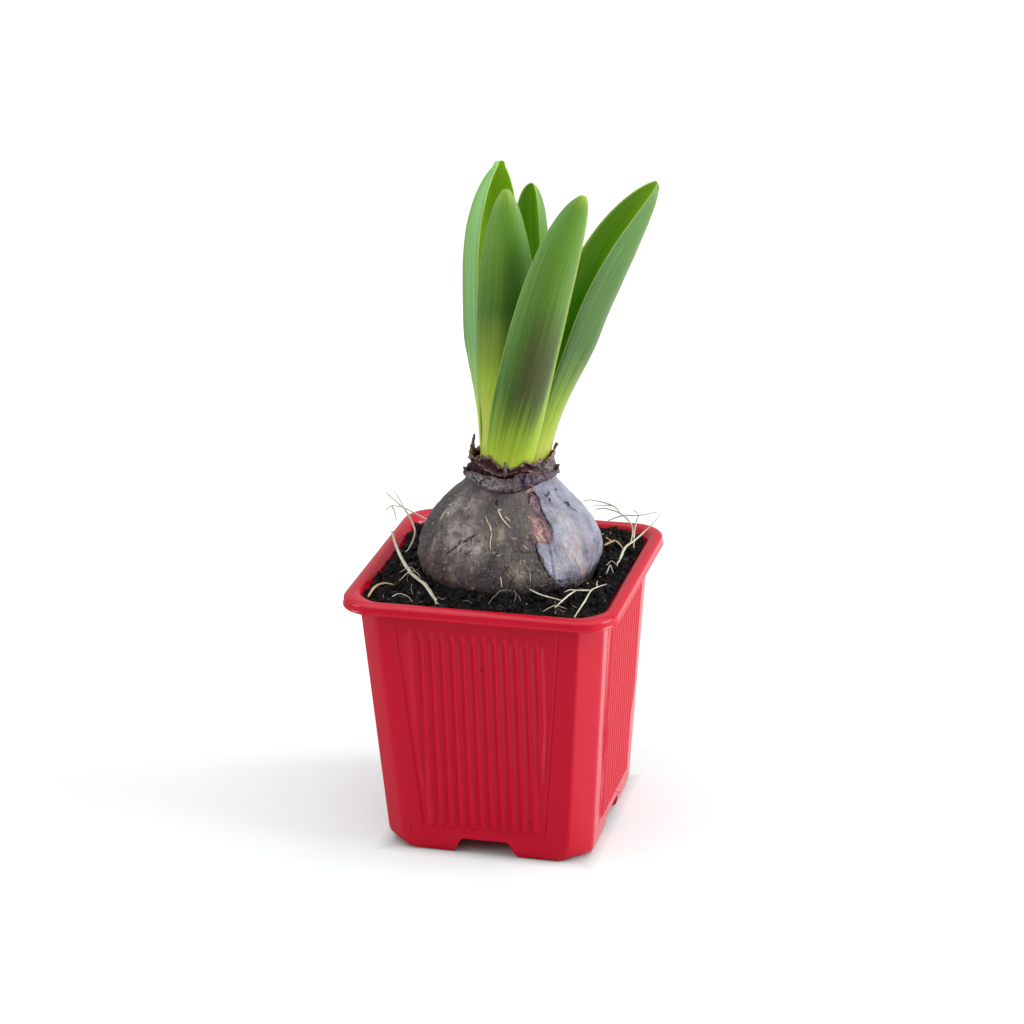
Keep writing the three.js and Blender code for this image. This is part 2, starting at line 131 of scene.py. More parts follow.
def stackMesh(name, rings):  # closed stack of equal rings, lowest first
    sides = len(rings[0])
    points = [p for ring in rings for p in ring]
    faces = ringFaces(len(rings), sides)
    for ring, flip in ((rings[0], True), (rings[-1], False)):
        middle = sum((Vector(p) for p in ring), Vector()) / sides
        first = 0 if flip else (len(rings) - 1) * sides
        points.append(tuple(middle))
        hub = len(points) - 1
        for side in range(sides):
            pair = (first + side, first + (side + 1) % sides)
            faces.append((pair[1], pair[0], hub) if flip else (pair[0], pair[1], hub))
    return makeMesh(name, points, faces)


def fixNormals(piece):
    shape = bmesh.new()
    shape.from_mesh(piece.data)
    bmesh.ops.recalc_face_normals(shape, faces=shape.faces)
    shape.to_mesh(piece.data)
    shape.free()


def storeNumbers(piece, name, values, kind="FLOAT", field="value"):
    layer = piece.data.attributes.new(name, kind, "POINT")
    layer.data.foreach_set(field, values)


def bakeModifiers(piece):
    bpy.context.view_layer.update()
    solved = piece.evaluated_get(bpy.context.evaluated_depsgraph_get())
    mesh = bpy.data.meshes.new_from_object(solved)
    piece.modifiers.clear()
    piece.data = mesh


def cutBy(piece, tool, operation="DIFFERENCE"):
    modifier = piece.modifiers.new(operation.lower(), "BOOLEAN")
    modifier.operation = operation
    modifier.object = tool
    modifier.solver = "MANIFOLD"
    bakeModifiers(piece)
    bpy.data.objects.remove(tool, do_unlink=True)


def runNodes(piece, tree, values):
    modifier = piece.modifiers.new(tree.name, "NODES")
    modifier.node_group = tree
    for socket in tree.interface.items_tree:
        if socket.in_out == "INPUT" and socket.name in values:
            modifier[socket.identifier] = values[socket.name]
    bakeModifiers(piece)


def faceCount(piece):
    piece.data.calc_loop_triangles()
    return len(piece.data.loop_triangles)


def finishPiece(piece, material, replaced=()):
    piece.data.materials.clear()
    piece.data.materials.append(material)
    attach(piece, "root")
    if replaced:
        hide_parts(*replaced)
    print("made", piece.name, faceCount(piece), "triangles")


# small helpers for node trees

def plug(tree, node, sockets):  # sets plain values and links sockets
    for key, value in sockets.items():
        if isinstance(value, bpy.types.NodeSocket):
            tree.links.new(value, node.inputs[key])
        else:
            node.inputs[key].default_value = value
    return node


def putNode(tree, kind, sockets=None, **settings):
    node = tree.nodes.new(kind)
    for key, value in settings.items():
        setattr(node, key, value)
    return plug(tree, node, sockets or {})


def calc(tree, operation, first, second=0.0, third=0.0):
    return putNode(tree, "ShaderNodeMath", {0: first, 1: second, 2: third}, operation=operation).outputs[0]


def product(tree, *factors):
    result = factors[0]
    for factor in factors[1:]:
        result = calc(tree, "MULTIPLY", result, factor)
    return result


def vectorCalc(tree, operation, sockets):
    return putNode(tree, "ShaderNodeVectorMath", sockets, operation=operation).outputs[0]


def partsOf(tree, vector):
    return putNode(tree, "ShaderNodeSeparateXYZ", {0: vector}).outputs


def joinParts(tree, x, y, z):
    return putNode(tree, "ShaderNodeCombineXYZ", {0: x, 1: y, 2: z}).outputs[0]


def mapRange(tree, value, fromLow, fromHigh, toLow, toHigh):
    return putNode(tree, "ShaderNodeMapRange", {0: value, 1: fromLow, 2: fromHigh, 3: toLow, 4: toHigh}).outputs[0]


def mixColour(tree, share, first, second):
    node = putNode(tree, "ShaderNodeMix", {0: share, 6: first, 7: second}, data_type="RGBA", clamp_factor=True)
    return node.outputs[2]


def layOn(tree, base, top, *shares):  # lays a second colour over the first, by the product of the shares
    return mixColour(tree, product(tree, *shares), base, top)


def ramp(tree, value, stops):
    node = putNode(tree, "ShaderNodeValToRGB", {0: value})
    entries = node.color_ramp.elements
    while len(entries) < len(stops):
        entries.new(0.5)
    for entry, (place, shade) in zip(entries, stops):
        entry.position = place
        entry.color = shade if isinstance(shade, tuple) else (shade, shade, shade, 1)
    return node.outputs[0]


def fade(tree, value, low, high, first=0.0, last=1.0):  # runs from the first number to the last one
    return ramp(tree, value, [(low, first), (high, last)])


def noiseAt(tree, vector, scale, detail, roughness=0.55, distortion=0.0):
    sockets = {"Vector": vector, "Scale": scale, "Detail": detail, "Roughness": roughness, "Distortion": distortion}
    return putNode(tree, "ShaderNodeTexNoise", sockets).outputs["Fac"]


def stretched(tree, vector, scale):
    return putNode(tree, "ShaderNodeMapping", {"Vector": vector, "Scale": scale}).outputs[0]


def readNumber(tree, name):
    return putNode(tree, "ShaderNodeAttribute", attribute_name=name).outputs["Fac"]


def objectPlace(tree):
    return putNode(tree, "ShaderNodeTexCoord").outputs["Object"]


def bumpFrom(tree, height, strength, distance):
    return putNode(tree, "ShaderNodeBump", {"Height": height, "Strength": strength, "Distance": distance}).outputs[0]


def newMaterial(name, **constants):
    material = bpy.data.materials.new(name)
    material.use_nodes = True
    tree = material.node_tree
    tree.nodes.clear()
    shader = tree.nodes.new("ShaderNodeBsdfPrincipled")
    putNode(tree, "ShaderNodeOutputMaterial", {"Surface": shader.outputs[0]})
    plug(tree, shader, {key.replace("_", " "): value for key, value in constants.items()})
    return material, tree, shader


def makeTree(name, kind, inputs, outputs):
    tree = bpy.data.node_groups.new(name, kind)
    for label, sort, value in inputs:
        socket = tree.interface.new_socket(label, in_out="INPUT", socket_type="NodeSocket" + sort)
        if value is not None:
            socket.default_value = value
    for label, sort in outputs:
        tree.interface.new_socket(label, in_out="OUTPUT", socket_type="NodeSocket" + sort)
    return tree, tree.nodes.new("NodeGroupInput").outputs, tree.nodes.new("NodeGroupOutput")


def storedNumber(tree, name, kind="FLOAT"):  # a number stored on the mesh, in a geometry tree
    node = putNode(tree, "GeometryNodeInputNamedAttribute", {"Name": name}, data_type=kind)
    return next(socket for socket in node.outputs if socket.enabled and socket.name == "Attribute")


def drawRandom(tree, low, high, seed):  # a number, or a vector where the limits are vectors
    isVector = isinstance(low, tuple)
    first = 0 if isVector else 2
    node = putNode(tree, "FunctionNodeRandomValue", {first: low, first + 1: high, "Seed": seed},
                   data_type="FLOAT_VECTOR" if isVector else "FLOAT")
    return node.outputs[0 if isVector else 1]


# shader groups that several finishes share

def makeMottleGroup():  # cloudy patches of a second colour, with fine grain
    tree, entry, leave = makeTree(
        "mottle", "ShaderNodeTree",
        [
            ("Place", "Vector", None), ("Patch Scale", "Float", 60.0), ("Grain Scale", "Float", 900.0),
            ("Amount", "Float", 0.5), ("First", "Color", (0.5, 0.5, 0.5, 1)), ("Second", "Color", (0.2, 0.2, 0.2, 1)),
        ],
        [("Color", "Color"), ("Grain", "Float")],
    )
    patch = noiseAt(tree, entry["Place"], entry["Patch Scale"], 5.0, 0.6, 0.4)
    grain = noiseAt(tree, entry["Place"], entry["Grain Scale"], 3.0, 0.6)
    share = product(tree, ramp(tree, patch, [(0.38, 0.0), (0.64, 1.0)]), entry["Amount"])
    grainy = calc(tree, "SUBTRACT", calc(tree, "MULTIPLY_ADD", grain, 0.3, share), 0.15)
    plug(tree, leave, {"Color": mixColour(tree, grainy, entry["First"], entry["Second"]), "Grain": grain})
    return tree


def makeStreakGroup():  # fine lines that run along the second coordinate of a surface map
    tree, entry, leave = makeTree(
        "streaks", "ShaderNodeTree",
        [("Map", "Vector", None), ("Lines", "Float", 60.0), ("Length", "Float", 3.0), ("Wander", "Float", 0.4)],
        [("Fine", "Float"), ("Broad", "Float")],
    )
    parts = partsOf(tree, entry["Map"])
    across = product(tree, parts[0], entry["Lines"])
    along = product(tree, parts[1], entry["Length"])
    fineMap = joinParts(tree, across, along, parts[2])
    broadMap = joinParts(tree, product(tree, across, 0.22), product(tree, along, 0.5), parts[2])
    plug(tree, leave, {
        "Fine": noiseAt(tree, fineMap, 1.0, 3.0, 0.6, entry["Wander"]),
        "Broad": noiseAt(tree, broadMap, 1.0, 2.0, 0.5, entry["Wander"]),
    })
    return tree


mottleGroup = makeMottleGroup()
streakGroup = makeStreakGroup()


def groupOutputs(tree, group, sockets):
    return putNode(tree, "ShaderNodeGroup", sockets, node_tree=group).outputs


def mottled(tree, place, patchScale, grainScale, amount, first, second):
    return groupOutputs(tree, mottleGroup, {
        "Place": place, "Patch Scale": patchScale, "Grain Scale": grainScale, "Amount": amount,
        "First": first, "Second": second,
    })


# the camera stands where the photograph was taken

cameraPlan = {
    "place": (0.23978, -0.90933, 0.46429),
    "right": (0.96897, 0.24660, -0.01691),
    "up": (-0.07221, 0.34785, 0.93476),
    "back": (0.23639, -0.90454, 0.35487),
    "lens": 109.26, "sensor": 36, "nearest": 0.01,
}


def makeCamera():
    data = bpy.data.cameras.new("photoCamera")
    data.lens = cameraPlan["lens"]
    data.sensor_width = cameraPlan["sensor"]
    data.sensor_fit = "HORIZONTAL"
    data.clip_start = cameraPlan["nearest"]
    camera = placeObject("photoCamera", data)
    axes = Matrix((cameraPlan["right"], cameraPlan["up"], cameraPlan["back"])).transposed()
    camera.matrix_world = Matrix.Translation(cameraPlan["place"]) @ axes.to_4x4()
    bpy.context.scene.camera = camera


makeCamera()
print("camera placed")


# the pot

potPlan = {
    "height": 90, "rimHalf": 45, "rimCorner": 11.5, "rimDrop": 3.7, "rimSkirt": 1.3, "rimRound": 1.3,
    "lipFoot": [(0.6, 0), (0.2, 0.08), (0.02, 0.25), (0, 0.5), (0.16, 0.8), (0.3, 1.3)],
    "wall": 1.0, "wallHalfTop": 40.5, "wallHalfBase": 34.3, "chamfer": 6.9, "cornerSoft": 2.6, "rimCrown": 2.4,
    "footHalf": 32.2, "footChamfer": 9.7, "footRise": 5, "floor": 1.2,
    "mouth": [(1.6, 0.5), (0.9, 1.0), (0.5, 1.35), (0.2, 1.8), (0.05, 2.3), (0, 2.8)],
    "mouthDepth": 2.4, "mouthSoft": 8.5, "insideSoft": 1.5, "insideChamfer": 0.4, "cornerSteps": 10, "rimSteps": 8,
    "sharpFrom": 32,
}
ribPlan = {"count": 13, "pitch": 3.45, "relief": 0.95, "bottom": 9, "top": 81.8, "fadeLow": 2.2, "fadeHigh": 4.5,
           "perPitch": 8, "margin": 1.2, "lastRib": (22, 22.6), "roundness": 0.8}
groovePlan = {"halfTop": 26.8, "halfBase": 20.2, "width": 0.42, "depth": 0.35, "bottom": 8.5, "top": 83.5,
              "fadeLow": (8.2, 9.5), "fadeHigh": (82.4, 83.6), "across": (-1.6, -1, -0.5, 0, 0.5, 1, 1.6)}
channelPlan = {"rise": 6, "halfRoof": 7.9, "halfGround": 10.8, "roof": 1.1, "footRound": 1.8,
               "roofRound": 1.5, "halfLength": 50}
drainPlan = {"slotWidth": 3.5, "slotLength": 12, "slotCentre": 18, "holeRadius": 1.8, "cut": (3, 9)}
wallHeights = [0, 0.3, 0.8, 1.5, 2.5, 3.6, 5, 6.8, 8.2, 8.6, 9, 9.5, 10.1, 10.7, 11.2, 14]
wallHeights += [18 + 6 * k for k in range(10)] + [74.5, 76, 77.2, 78.4, 79.6, 80.8, 81.8, 82.4, 83.1, 83.6, 85, 89]


def wallHalf(z):
    return lerp(potPlan["wallHalfBase"], potPlan["wallHalfTop"], z / potPlan["height"])


def potSection(z):
    if z >= potPlan["footRise"]:
        return wallHalf(z), potPlan["chamfer"]
    up = 1 - max(z, 0) / potPlan["footRise"]
    turnIn = 1 - math.sqrt(1 - up * up)
    half = wallHalf(z) + (potPlan["footHalf"] - potPlan["wallHalfBase"]) * turnIn
    return half, lerp(potPlan["chamfer"], potPlan["footChamfer"], turnIn)


def quarterTurn(along, out, quarter, z):
    turn = quarter * math.pi / 2
    return (out * math.cos(turn) - along * math.sin(turn), out * math.sin(turn) + along * math.cos(turn), z)


def cornerPlaces(straight, half, soften):  # along and outward, round one chamfer with softened edges
    inset = soften * math.tan(math.pi / 8)
    turns = [k * math.pi / 16 for k in range(5)]
    places = [(straight - inset + soften * math.sin(a), half - soften + soften * math.cos(a)) for a in turns]
    quarter = math.pi / 4
    places += [
        (half - soften + soften * math.sin(a + quarter), straight - inset + soften * math.cos(a + quarter))
        for a in turns[:-1]
    ]
    return places


def softRing(z, half, chamfer, soften):
    straight = half - chamfer
    inset = soften * math.tan(math.pi / 8)
    ring = []
    for quarter in range(4):
        for along, out in [(inset - straight, half)] + cornerPlaces(straight, half, soften):
            ring.append(quarterTurn(along, out, quarter, z))
    return ring


def roundedSquare(half, corner, z):
    ring = []
    steps = potPlan["cornerSteps"]
    straight = half - corner
    for quarter in range(4):
        turn = quarter * math.pi / 2
        middle = (straight * (math.cos(turn) - math.sin(turn)), straight * (math.sin(turn) + math.cos(turn)))
        for k in range(steps + 1):
            angle = turn + k * math.pi / 2 / steps
            ring.append((middle[0] + corner * math.cos(angle), middle[1] + corner * math.sin(angle), z))
    return ring


def channelSection(extra, soften):  # right half of the bar that cuts a channel, from the ground up
    slope = (channelPlan["halfGround"] - channelPlan["halfRoof"]) / channelPlan["rise"]
    low = channelPlan["halfGround"] + extra
    high = channelPlan["halfRoof"] + extra - slope * extra
    top = channelPlan["rise"] + extra
    if not soften:
        return [(low + slope, -1), (high, top)]
    lean = math.atan(slope)
    reach = math.tan(math.pi / 4 - lean / 2)
    footRound = channelPlan["footRound"]
    roofRound = channelPlan["roofRound"]
    middle = (low + footRound * reach, footRound)
    section = [(middle[0], -1)]
    for k in range(6):
        angle = -math.pi / 2 - (math.pi / 2 - lean) * k / 5
        section.append((middle[0] + footRound * math.cos(angle), middle[1] + footRound * math.sin(angle)))
    middle = (high - roofRound * reach, top - roofRound)
    for k in range(5):
        angle = lean + (math.pi / 2 - lean) * k / 4
        section.append((middle[0] + roofRound * math.cos(angle), middle[1] + roofRound * math.sin(angle)))
    return section


def channelBar(extra, quarter, soften=False):
    section = channelSection(extra, soften)
    section += [(-x, z) for x, z in reversed(section)]
    rings = []
    for along in (-channelPlan["halfLength"], channelPlan["halfLength"]):
        rings.append([(x, along, z) if quarter == 0 else (-along, x, z) for x, z in section])
    bar = stackMesh("channelBar", rings)
    fixNormals(bar)
    return bar


def potInside(gap, top):
    rings = []
    for z in (potPlan["floor"] + gap, potPlan["footRise"], potPlan["height"] - potPlan["mouthDepth"]):
        half, chamfer = potSection(z)
        half = half - potPlan["wall"] - gap
        rings.append(softRing(z, half, chamfer - potPlan["insideChamfer"], potPlan["insideSoft"]))
    for drop, wider in potPlan["mouth"] + [(potPlan["height"] - top, potPlan["mouth"][-1][1])]:
        half = wallHalf(potPlan["height"]) - potPlan["wall"] - gap + wider
        rings.append(softRing(potPlan["height"] - drop, half, potPlan["chamfer"], potPlan["mouthSoft"]))
    inside = stackMesh("potInside", rings)
    for quarter in (0, 1):
        cutBy(inside, channelBar(channelPlan["roof"] + gap, quarter))
    return inside


def ribRelief():  # pushes the ribs out and the grooves in, from numbers stored on the wall
    tree, entry, leave = makeTree(
        "ribRelief", "GeometryNodeTree",
        [("Geometry", "Geometry", None), ("Relief", "Float", 0.0009), ("Groove Depth", "Float", 0.0003)],
        [("Geometry", "Geometry")],
    )
    rise = product(tree, storedNumber(tree, "ribWave"), entry["Relief"])
    sink = product(tree, storedNumber(tree, "grooveShare"), entry["Groove Depth"])
    outward = storedNumber(tree, "outward", "FLOAT_VECTOR")
    offset = vectorCalc(tree, "SCALE", {0: outward, "Scale": calc(tree, "SUBTRACT", rise, sink)})
    moved = putNode(tree, "GeometryNodeSetPosition", {"Geometry": entry["Geometry"], "Offset": offset})
    plug(tree, leave, {0: moved.outputs[0]})
    return tree


def makeWalls():  # plain walls with numbers for ribs and grooves, then pushed by the node tree
    middleCount = (ribPlan["count"] * ribPlan["perPitch"]) // 2
    wanted = [k * ribPlan["pitch"] / ribPlan["perPitch"] for k in range(-middleCount, middleCount + 1)]
    rings = []
    waves = []
    grooves = []
    outwards = []
    for z in wallHeights:
        half, chamfer = potSection(z)
        straight = half - chamfer
        edge = lerp(groovePlan["halfBase"], groovePlan["halfTop"], shareAt(z, groovePlan["bottom"], groovePlan["top"]))
        ribRoom = edge - ribPlan["margin"]
        squeeze = min(1.0, ribRoom / wanted[-1])
        alongs = sorted(a if abs(a) < ribRoom - 3 else a * squeeze for a in wanted)
        side = [edge + g * groovePlan["width"] for g in groovePlan["across"]]
        inset = potPlan["cornerSoft"] * math.tan(math.pi / 8)
        alongs = [inset - straight] + [-s for s in reversed(side)] + alongs + side
        ring = []
        up = smooth(z, ribPlan["bottom"], ribPlan["bottom"] + ribPlan["fadeLow"])
        down = 1 - smooth(z, ribPlan["top"] - ribPlan["fadeHigh"], ribPlan["top"])
        ribHeight = min(up, down)
        grooveHeight = smooth(z, *groovePlan["fadeLow"]) * (1 - smooth(z, *groovePlan["fadeHigh"]))
        fadeFrom = min(ribRoom - ribPlan["margin"], ribPlan["lastRib"][0])
        fadeTo = min(ribRoom - 0.2, ribPlan["lastRib"][1])
        for quarter in range(4):
            normal = quarterTurn(0, 1, quarter, 0)
            for along in alongs:
                ring.append(quarterTurn(along, half, quarter, z))
                phase = (along / ribPlan["pitch"]) * 2 * math.pi
                inPanel = 1 - smooth(abs(along), fadeFrom, fadeTo)
                wave = (0.5 - 0.5 * math.cos(phase + math.pi)) ** ribPlan["roundness"] * inPanel
                waves.append(wave * ribHeight)
                grooves.append(max(0.0, 1 - ((abs(along) - edge) / groovePlan["width"]) ** 2) * grooveHeight)
                outwards.append(normal)
            for along, out in cornerPlaces(straight, half, potPlan["cornerSoft"]):
                ring.append(quarterTurn(along, out, quarter, z))
                waves.append(0.0)
                grooves.append(0.0)
                outwards.append(normal)
        rings.append(ring)
    walls = stackMesh("potWalls", rings)
    storeNumbers(walls, "ribWave", waves + [0.0, 0.0])
    storeNumbers(walls, "grooveShare", grooves + [0.0, 0.0])
    storeNumbers(walls, "outward", [part for v in outwards for part in v] + [0.0] * 6, "FLOAT_VECTOR", "vector")
    runNodes(walls, ribRelief(), {
        "Relief": ribPlan["relief"] * millimetre, "Groove Depth": groovePlan["depth"] * millimetre,
    })
    return walls


def makeLip():
    lipRings = []
    low = potPlan["height"] - potPlan["rimDrop"]
    for inset, rise in potPlan["lipFoot"]:
        lipRings.append(roundedSquare(potPlan["rimHalf"] - inset, potPlan["rimCorner"] - inset, low + rise))
    for k in range(potPlan["rimSteps"] + 1):
        angle = k * math.pi / 2 / potPlan["rimSteps"]
        inset = potPlan["lipFoot"][-1][0] + potPlan["rimCrown"] * (1 - math.cos(angle))
        z = potPlan["height"] - potPlan["rimRound"] * (1 - math.sin(angle))
        lipRings.append(roundedSquare(potPlan["rimHalf"] - inset, potPlan["rimCorner"] - inset, z))
    lip = stackMesh("lip", lipRings)
    skirt = potPlan["rimSkirt"]
    underRings = [
        roundedSquare(potPlan["rimHalf"] - skirt, potPlan["rimCorner"] - skirt, z) for z in (low - 2, low + 2.1)
    ]
    cutBy(lip, stackMesh("underLip", underRings))
    return lip


def cutDrain(pot):
    width = drainPlan["slotWidth"] / 2
    reach = drainPlan["slotLength"] / 2
    for arm in range(4):
        corners = [(-reach, -width), (reach, -width), (reach, width), (-reach, width)]
        rings = [[quarterTurn(y, x + drainPlan["slotCentre"], arm, z) for x, y in corners] for z in drainPlan["cut"]]
        slotTool = stackMesh("slotTool", rings)
        fixNormals(slotTool)
        cutBy(pot, slotTool)
    turns = [k * math.pi / 12 for k in range(24)]
    radius = drainPlan["holeRadius"]
    holeRings = [[(radius * math.cos(a), radius * math.sin(a), z) for a in turns] for z in drainPlan["cut"]]
    cutBy(pot, stackMesh("holeTool", holeRings))


def makePot():
    pot = makeWalls()
    cutBy(pot, makeLip(), "UNION")
    cutBy(pot, potInside(0, potPlan["height"] + 5))
    for quarter in (0, 1):
        cutBy(pot, channelBar(0, quarter, soften=True))
    cutDrain(pot)
    pot.data.set_sharp_from_angle(angle=math.radians(potPlan["sharpFrom"]))
    return pot


def potFinish():
    look = palette(red=(190, 6, 40), deepRed=(174, 4, 32))
    material, tree, shader = newMaterial("mouldedRedPlastic", Specular_IOR_Level=0.38)
    place = objectPlace(tree)
    cloudy = mottled(tree, place, 22.0, 1400.0, 0.28, look["red"], look["deepRed"])
    fine = noiseAt(tree, place, 1500.0, 2.0, 0.5)
    height = calc(tree, "MULTIPLY_ADD", noiseAt(tree, place, 60.0, 1.0, 0.4), 8.0, fine)
    plug(tree, shader, {
        "Base Color": cloudy["Color"], "Roughness": calc(tree, "MULTIPLY_ADD", cloudy["Grain"], 0.1, 0.2),
        "Normal": bumpFrom(tree, height, 0.05, 0.0001),
    })
    return material


pot = makePot()
finishPiece(pot, potFinish(), ["pot"])

speckPlan = {
    "placed": [  # quarter of the pot, along and height
        (3, -31, 77.6), (3, 1.4, 68.2), (3, 8.1, 73.1), (3, -24.9, 8.8), (3, -11.4, 8.8), (3, 8.8, 9.3), (3, 15, 14.3),
        (0, 8.2, 6.7),
    ],
    "strewn": 7, "halfSpread": 24, "strewnHeights": (10, 78), "smallest": 0.16, "largest": 0.34, "seed": 5,
}


def makeSpecks():  # crumbs of peat that stick to the outside
    draw = random.Random(speckPlan["seed"])
    places = list(speckPlan["placed"])
    spread = speckPlan["halfSpread"]
    for _ in range(speckPlan["strewn"]):
        places.append((draw.choice((1, 2)), draw.uniform(-spread, spread), draw.uniform(*speckPlan["strewnHeights"])))
    shape = bmesh.new()
    for quarter, along, z in places:
        size = draw.uniform(speckPlan["smallest"], speckPlan["largest"])
        middle = Vector(quarterTurn(along, wallHalf(z) + 0.3, quarter, z))
        crumb = bmesh.ops.create_icosphere(shape, subdivisions=2, radius=1)
        for vertex in crumb["verts"]:
            dent = 1 + 0.35 * noise.noise(vertex.co * 1.7 + middle)
            vertex.co = (vertex.co * size * dent + middle) * millimetre
    mesh = bpy.data.meshes.new("peatSpecks")
    shape.to_mesh(mesh)
    shape.free()
    mesh.shade_smooth()
    return placeObject("peatSpecks", mesh)


def speckFinish():
    material, tree, shader = newMaterial("driedPeat", Roughness=0.9)
    grain = noiseAt(tree, objectPlace(tree), 3000.0, 2.0, 0.5)
    plug(tree, shader, {"Base Color": ramp(tree, grain, [(0.3, colour(24, 14, 12)), (0.7, colour(62, 40, 30))])})
    return material


finishPiece(makeSpecks(), speckFinish())


# the bulb

bulbPlan = {
    "axis": (1.3, 0.0), "neckAxis": (1.8, 0.0),
    "outline": [
        (10, 69.6), (15, 71.2), (21.5, 76), (26.3, 83), (28.9, 89.5), (30, 95.2), (29.2, 100.4),
        (26.8, 105), (23.9, 109), (20.4, 112.8), (17.2, 115.8), (15.2, 117.9), (14.6, 119),
    ],
    "outer": 14.1, "inner": 13.6, "seat": 118.4, "neckStart": 112,
    "lobes": 0.5, "panelTurn": -48, "panelRise": 0.5, "panelWide": 110, "narrowTurn": 14, "narrow": 1.1,
    "bodyFrom": (15, 24), "narrowReach": (20, 60), "soilLine": 83, "paintedFrom": 80, "skinTop": 119.6,
    "buriedRows": 12, "shownRows": 142, "closeTurns": 0.5, "wideTurns": 1.5,
}
reliefPlan = {  # millimetres; a mark's sink and rim are shares of its depth, its rim's reach one of its width
    "markSink": 0.75, "markRim": 0.45, "rimReach": 2.2, "markReach": 2.5, "stain": 0.8,
    "fibres": 0.07, "waves": 0.4, "wrinkles": 0.34, "grain": 0.09, "panel": 0.22, "onPanel": 0.45,
}
maskPlan = {  # turns in degrees and heights where the panel, the pink strip and the darker foot fade
    "panelSeam": (-0.6, 0.8), "panelEnd": (95, 120), "panelFoot": (89.5, 94), "earthLine": (89, 96),
    "pinkLeft": (-66, -57), "pinkLeftAt": (105, 113), "pinkSoft": (3, 7), "pinkRight": (-44.5, -42),
    "pinkFoot": (104.4, 106.6), "pinkTop": (120.5, 121.6),
}
seamStops = [  # height and turn of the panel's left edge
    (88, -38), (90, -41), (95, -50), (101, -54), (106, -57), (107.5, -47), (110, -42), (115, -45), (120.5, -51),
]


def smoothOutline(pairs, count):
    path = [Vector(pair) for pair in pairs]
    result = []
    for k in range(count):
        place = k / (count - 1) * (len(path) - 1)
        start = min(int(place), len(path) - 2)
        result.append(tuple(throughPoints(path, start, place - start)))
    return result


def swellAt(turn, z):
    ripple = 0.6 * math.sin(5 * turn + 0.13 * z) + 0.4 * math.sin(8 * turn - 1)
    return math.sin(3 * turn + 0.6) + ripple


def bulbShape(radius, z, turn):
    body = smooth(radius, *bulbPlan["bodyFrom"])
    fromPanel = (math.degrees(turn) - bulbPlan["panelTurn"]) % 360
    wide = bulbPlan["panelWide"]
    panel = bulbPlan["panelRise"] * (1 - fromPanel / wide) if fromPanel < wide else 0.0
    beside = abs(wrapTurn(math.degrees(turn) - bulbPlan["narrowTurn"]))
    panel -= bulbPlan["narrow"] * (1 - smooth(beside, *bulbPlan["narrowReach"]))
    wide = radius + body * (bulbPlan["lobes"] * swellAt(turn, z) / 2 + panel)
    neck = smooth(z, bulbPlan["neckStart"], bulbPlan["seat"])
    x = wide * math.cos(turn) + lerp(bulbPlan["axis"][0], bulbPlan["neckAxis"][0], neck)
    return x, wide * math.sin(turn), z


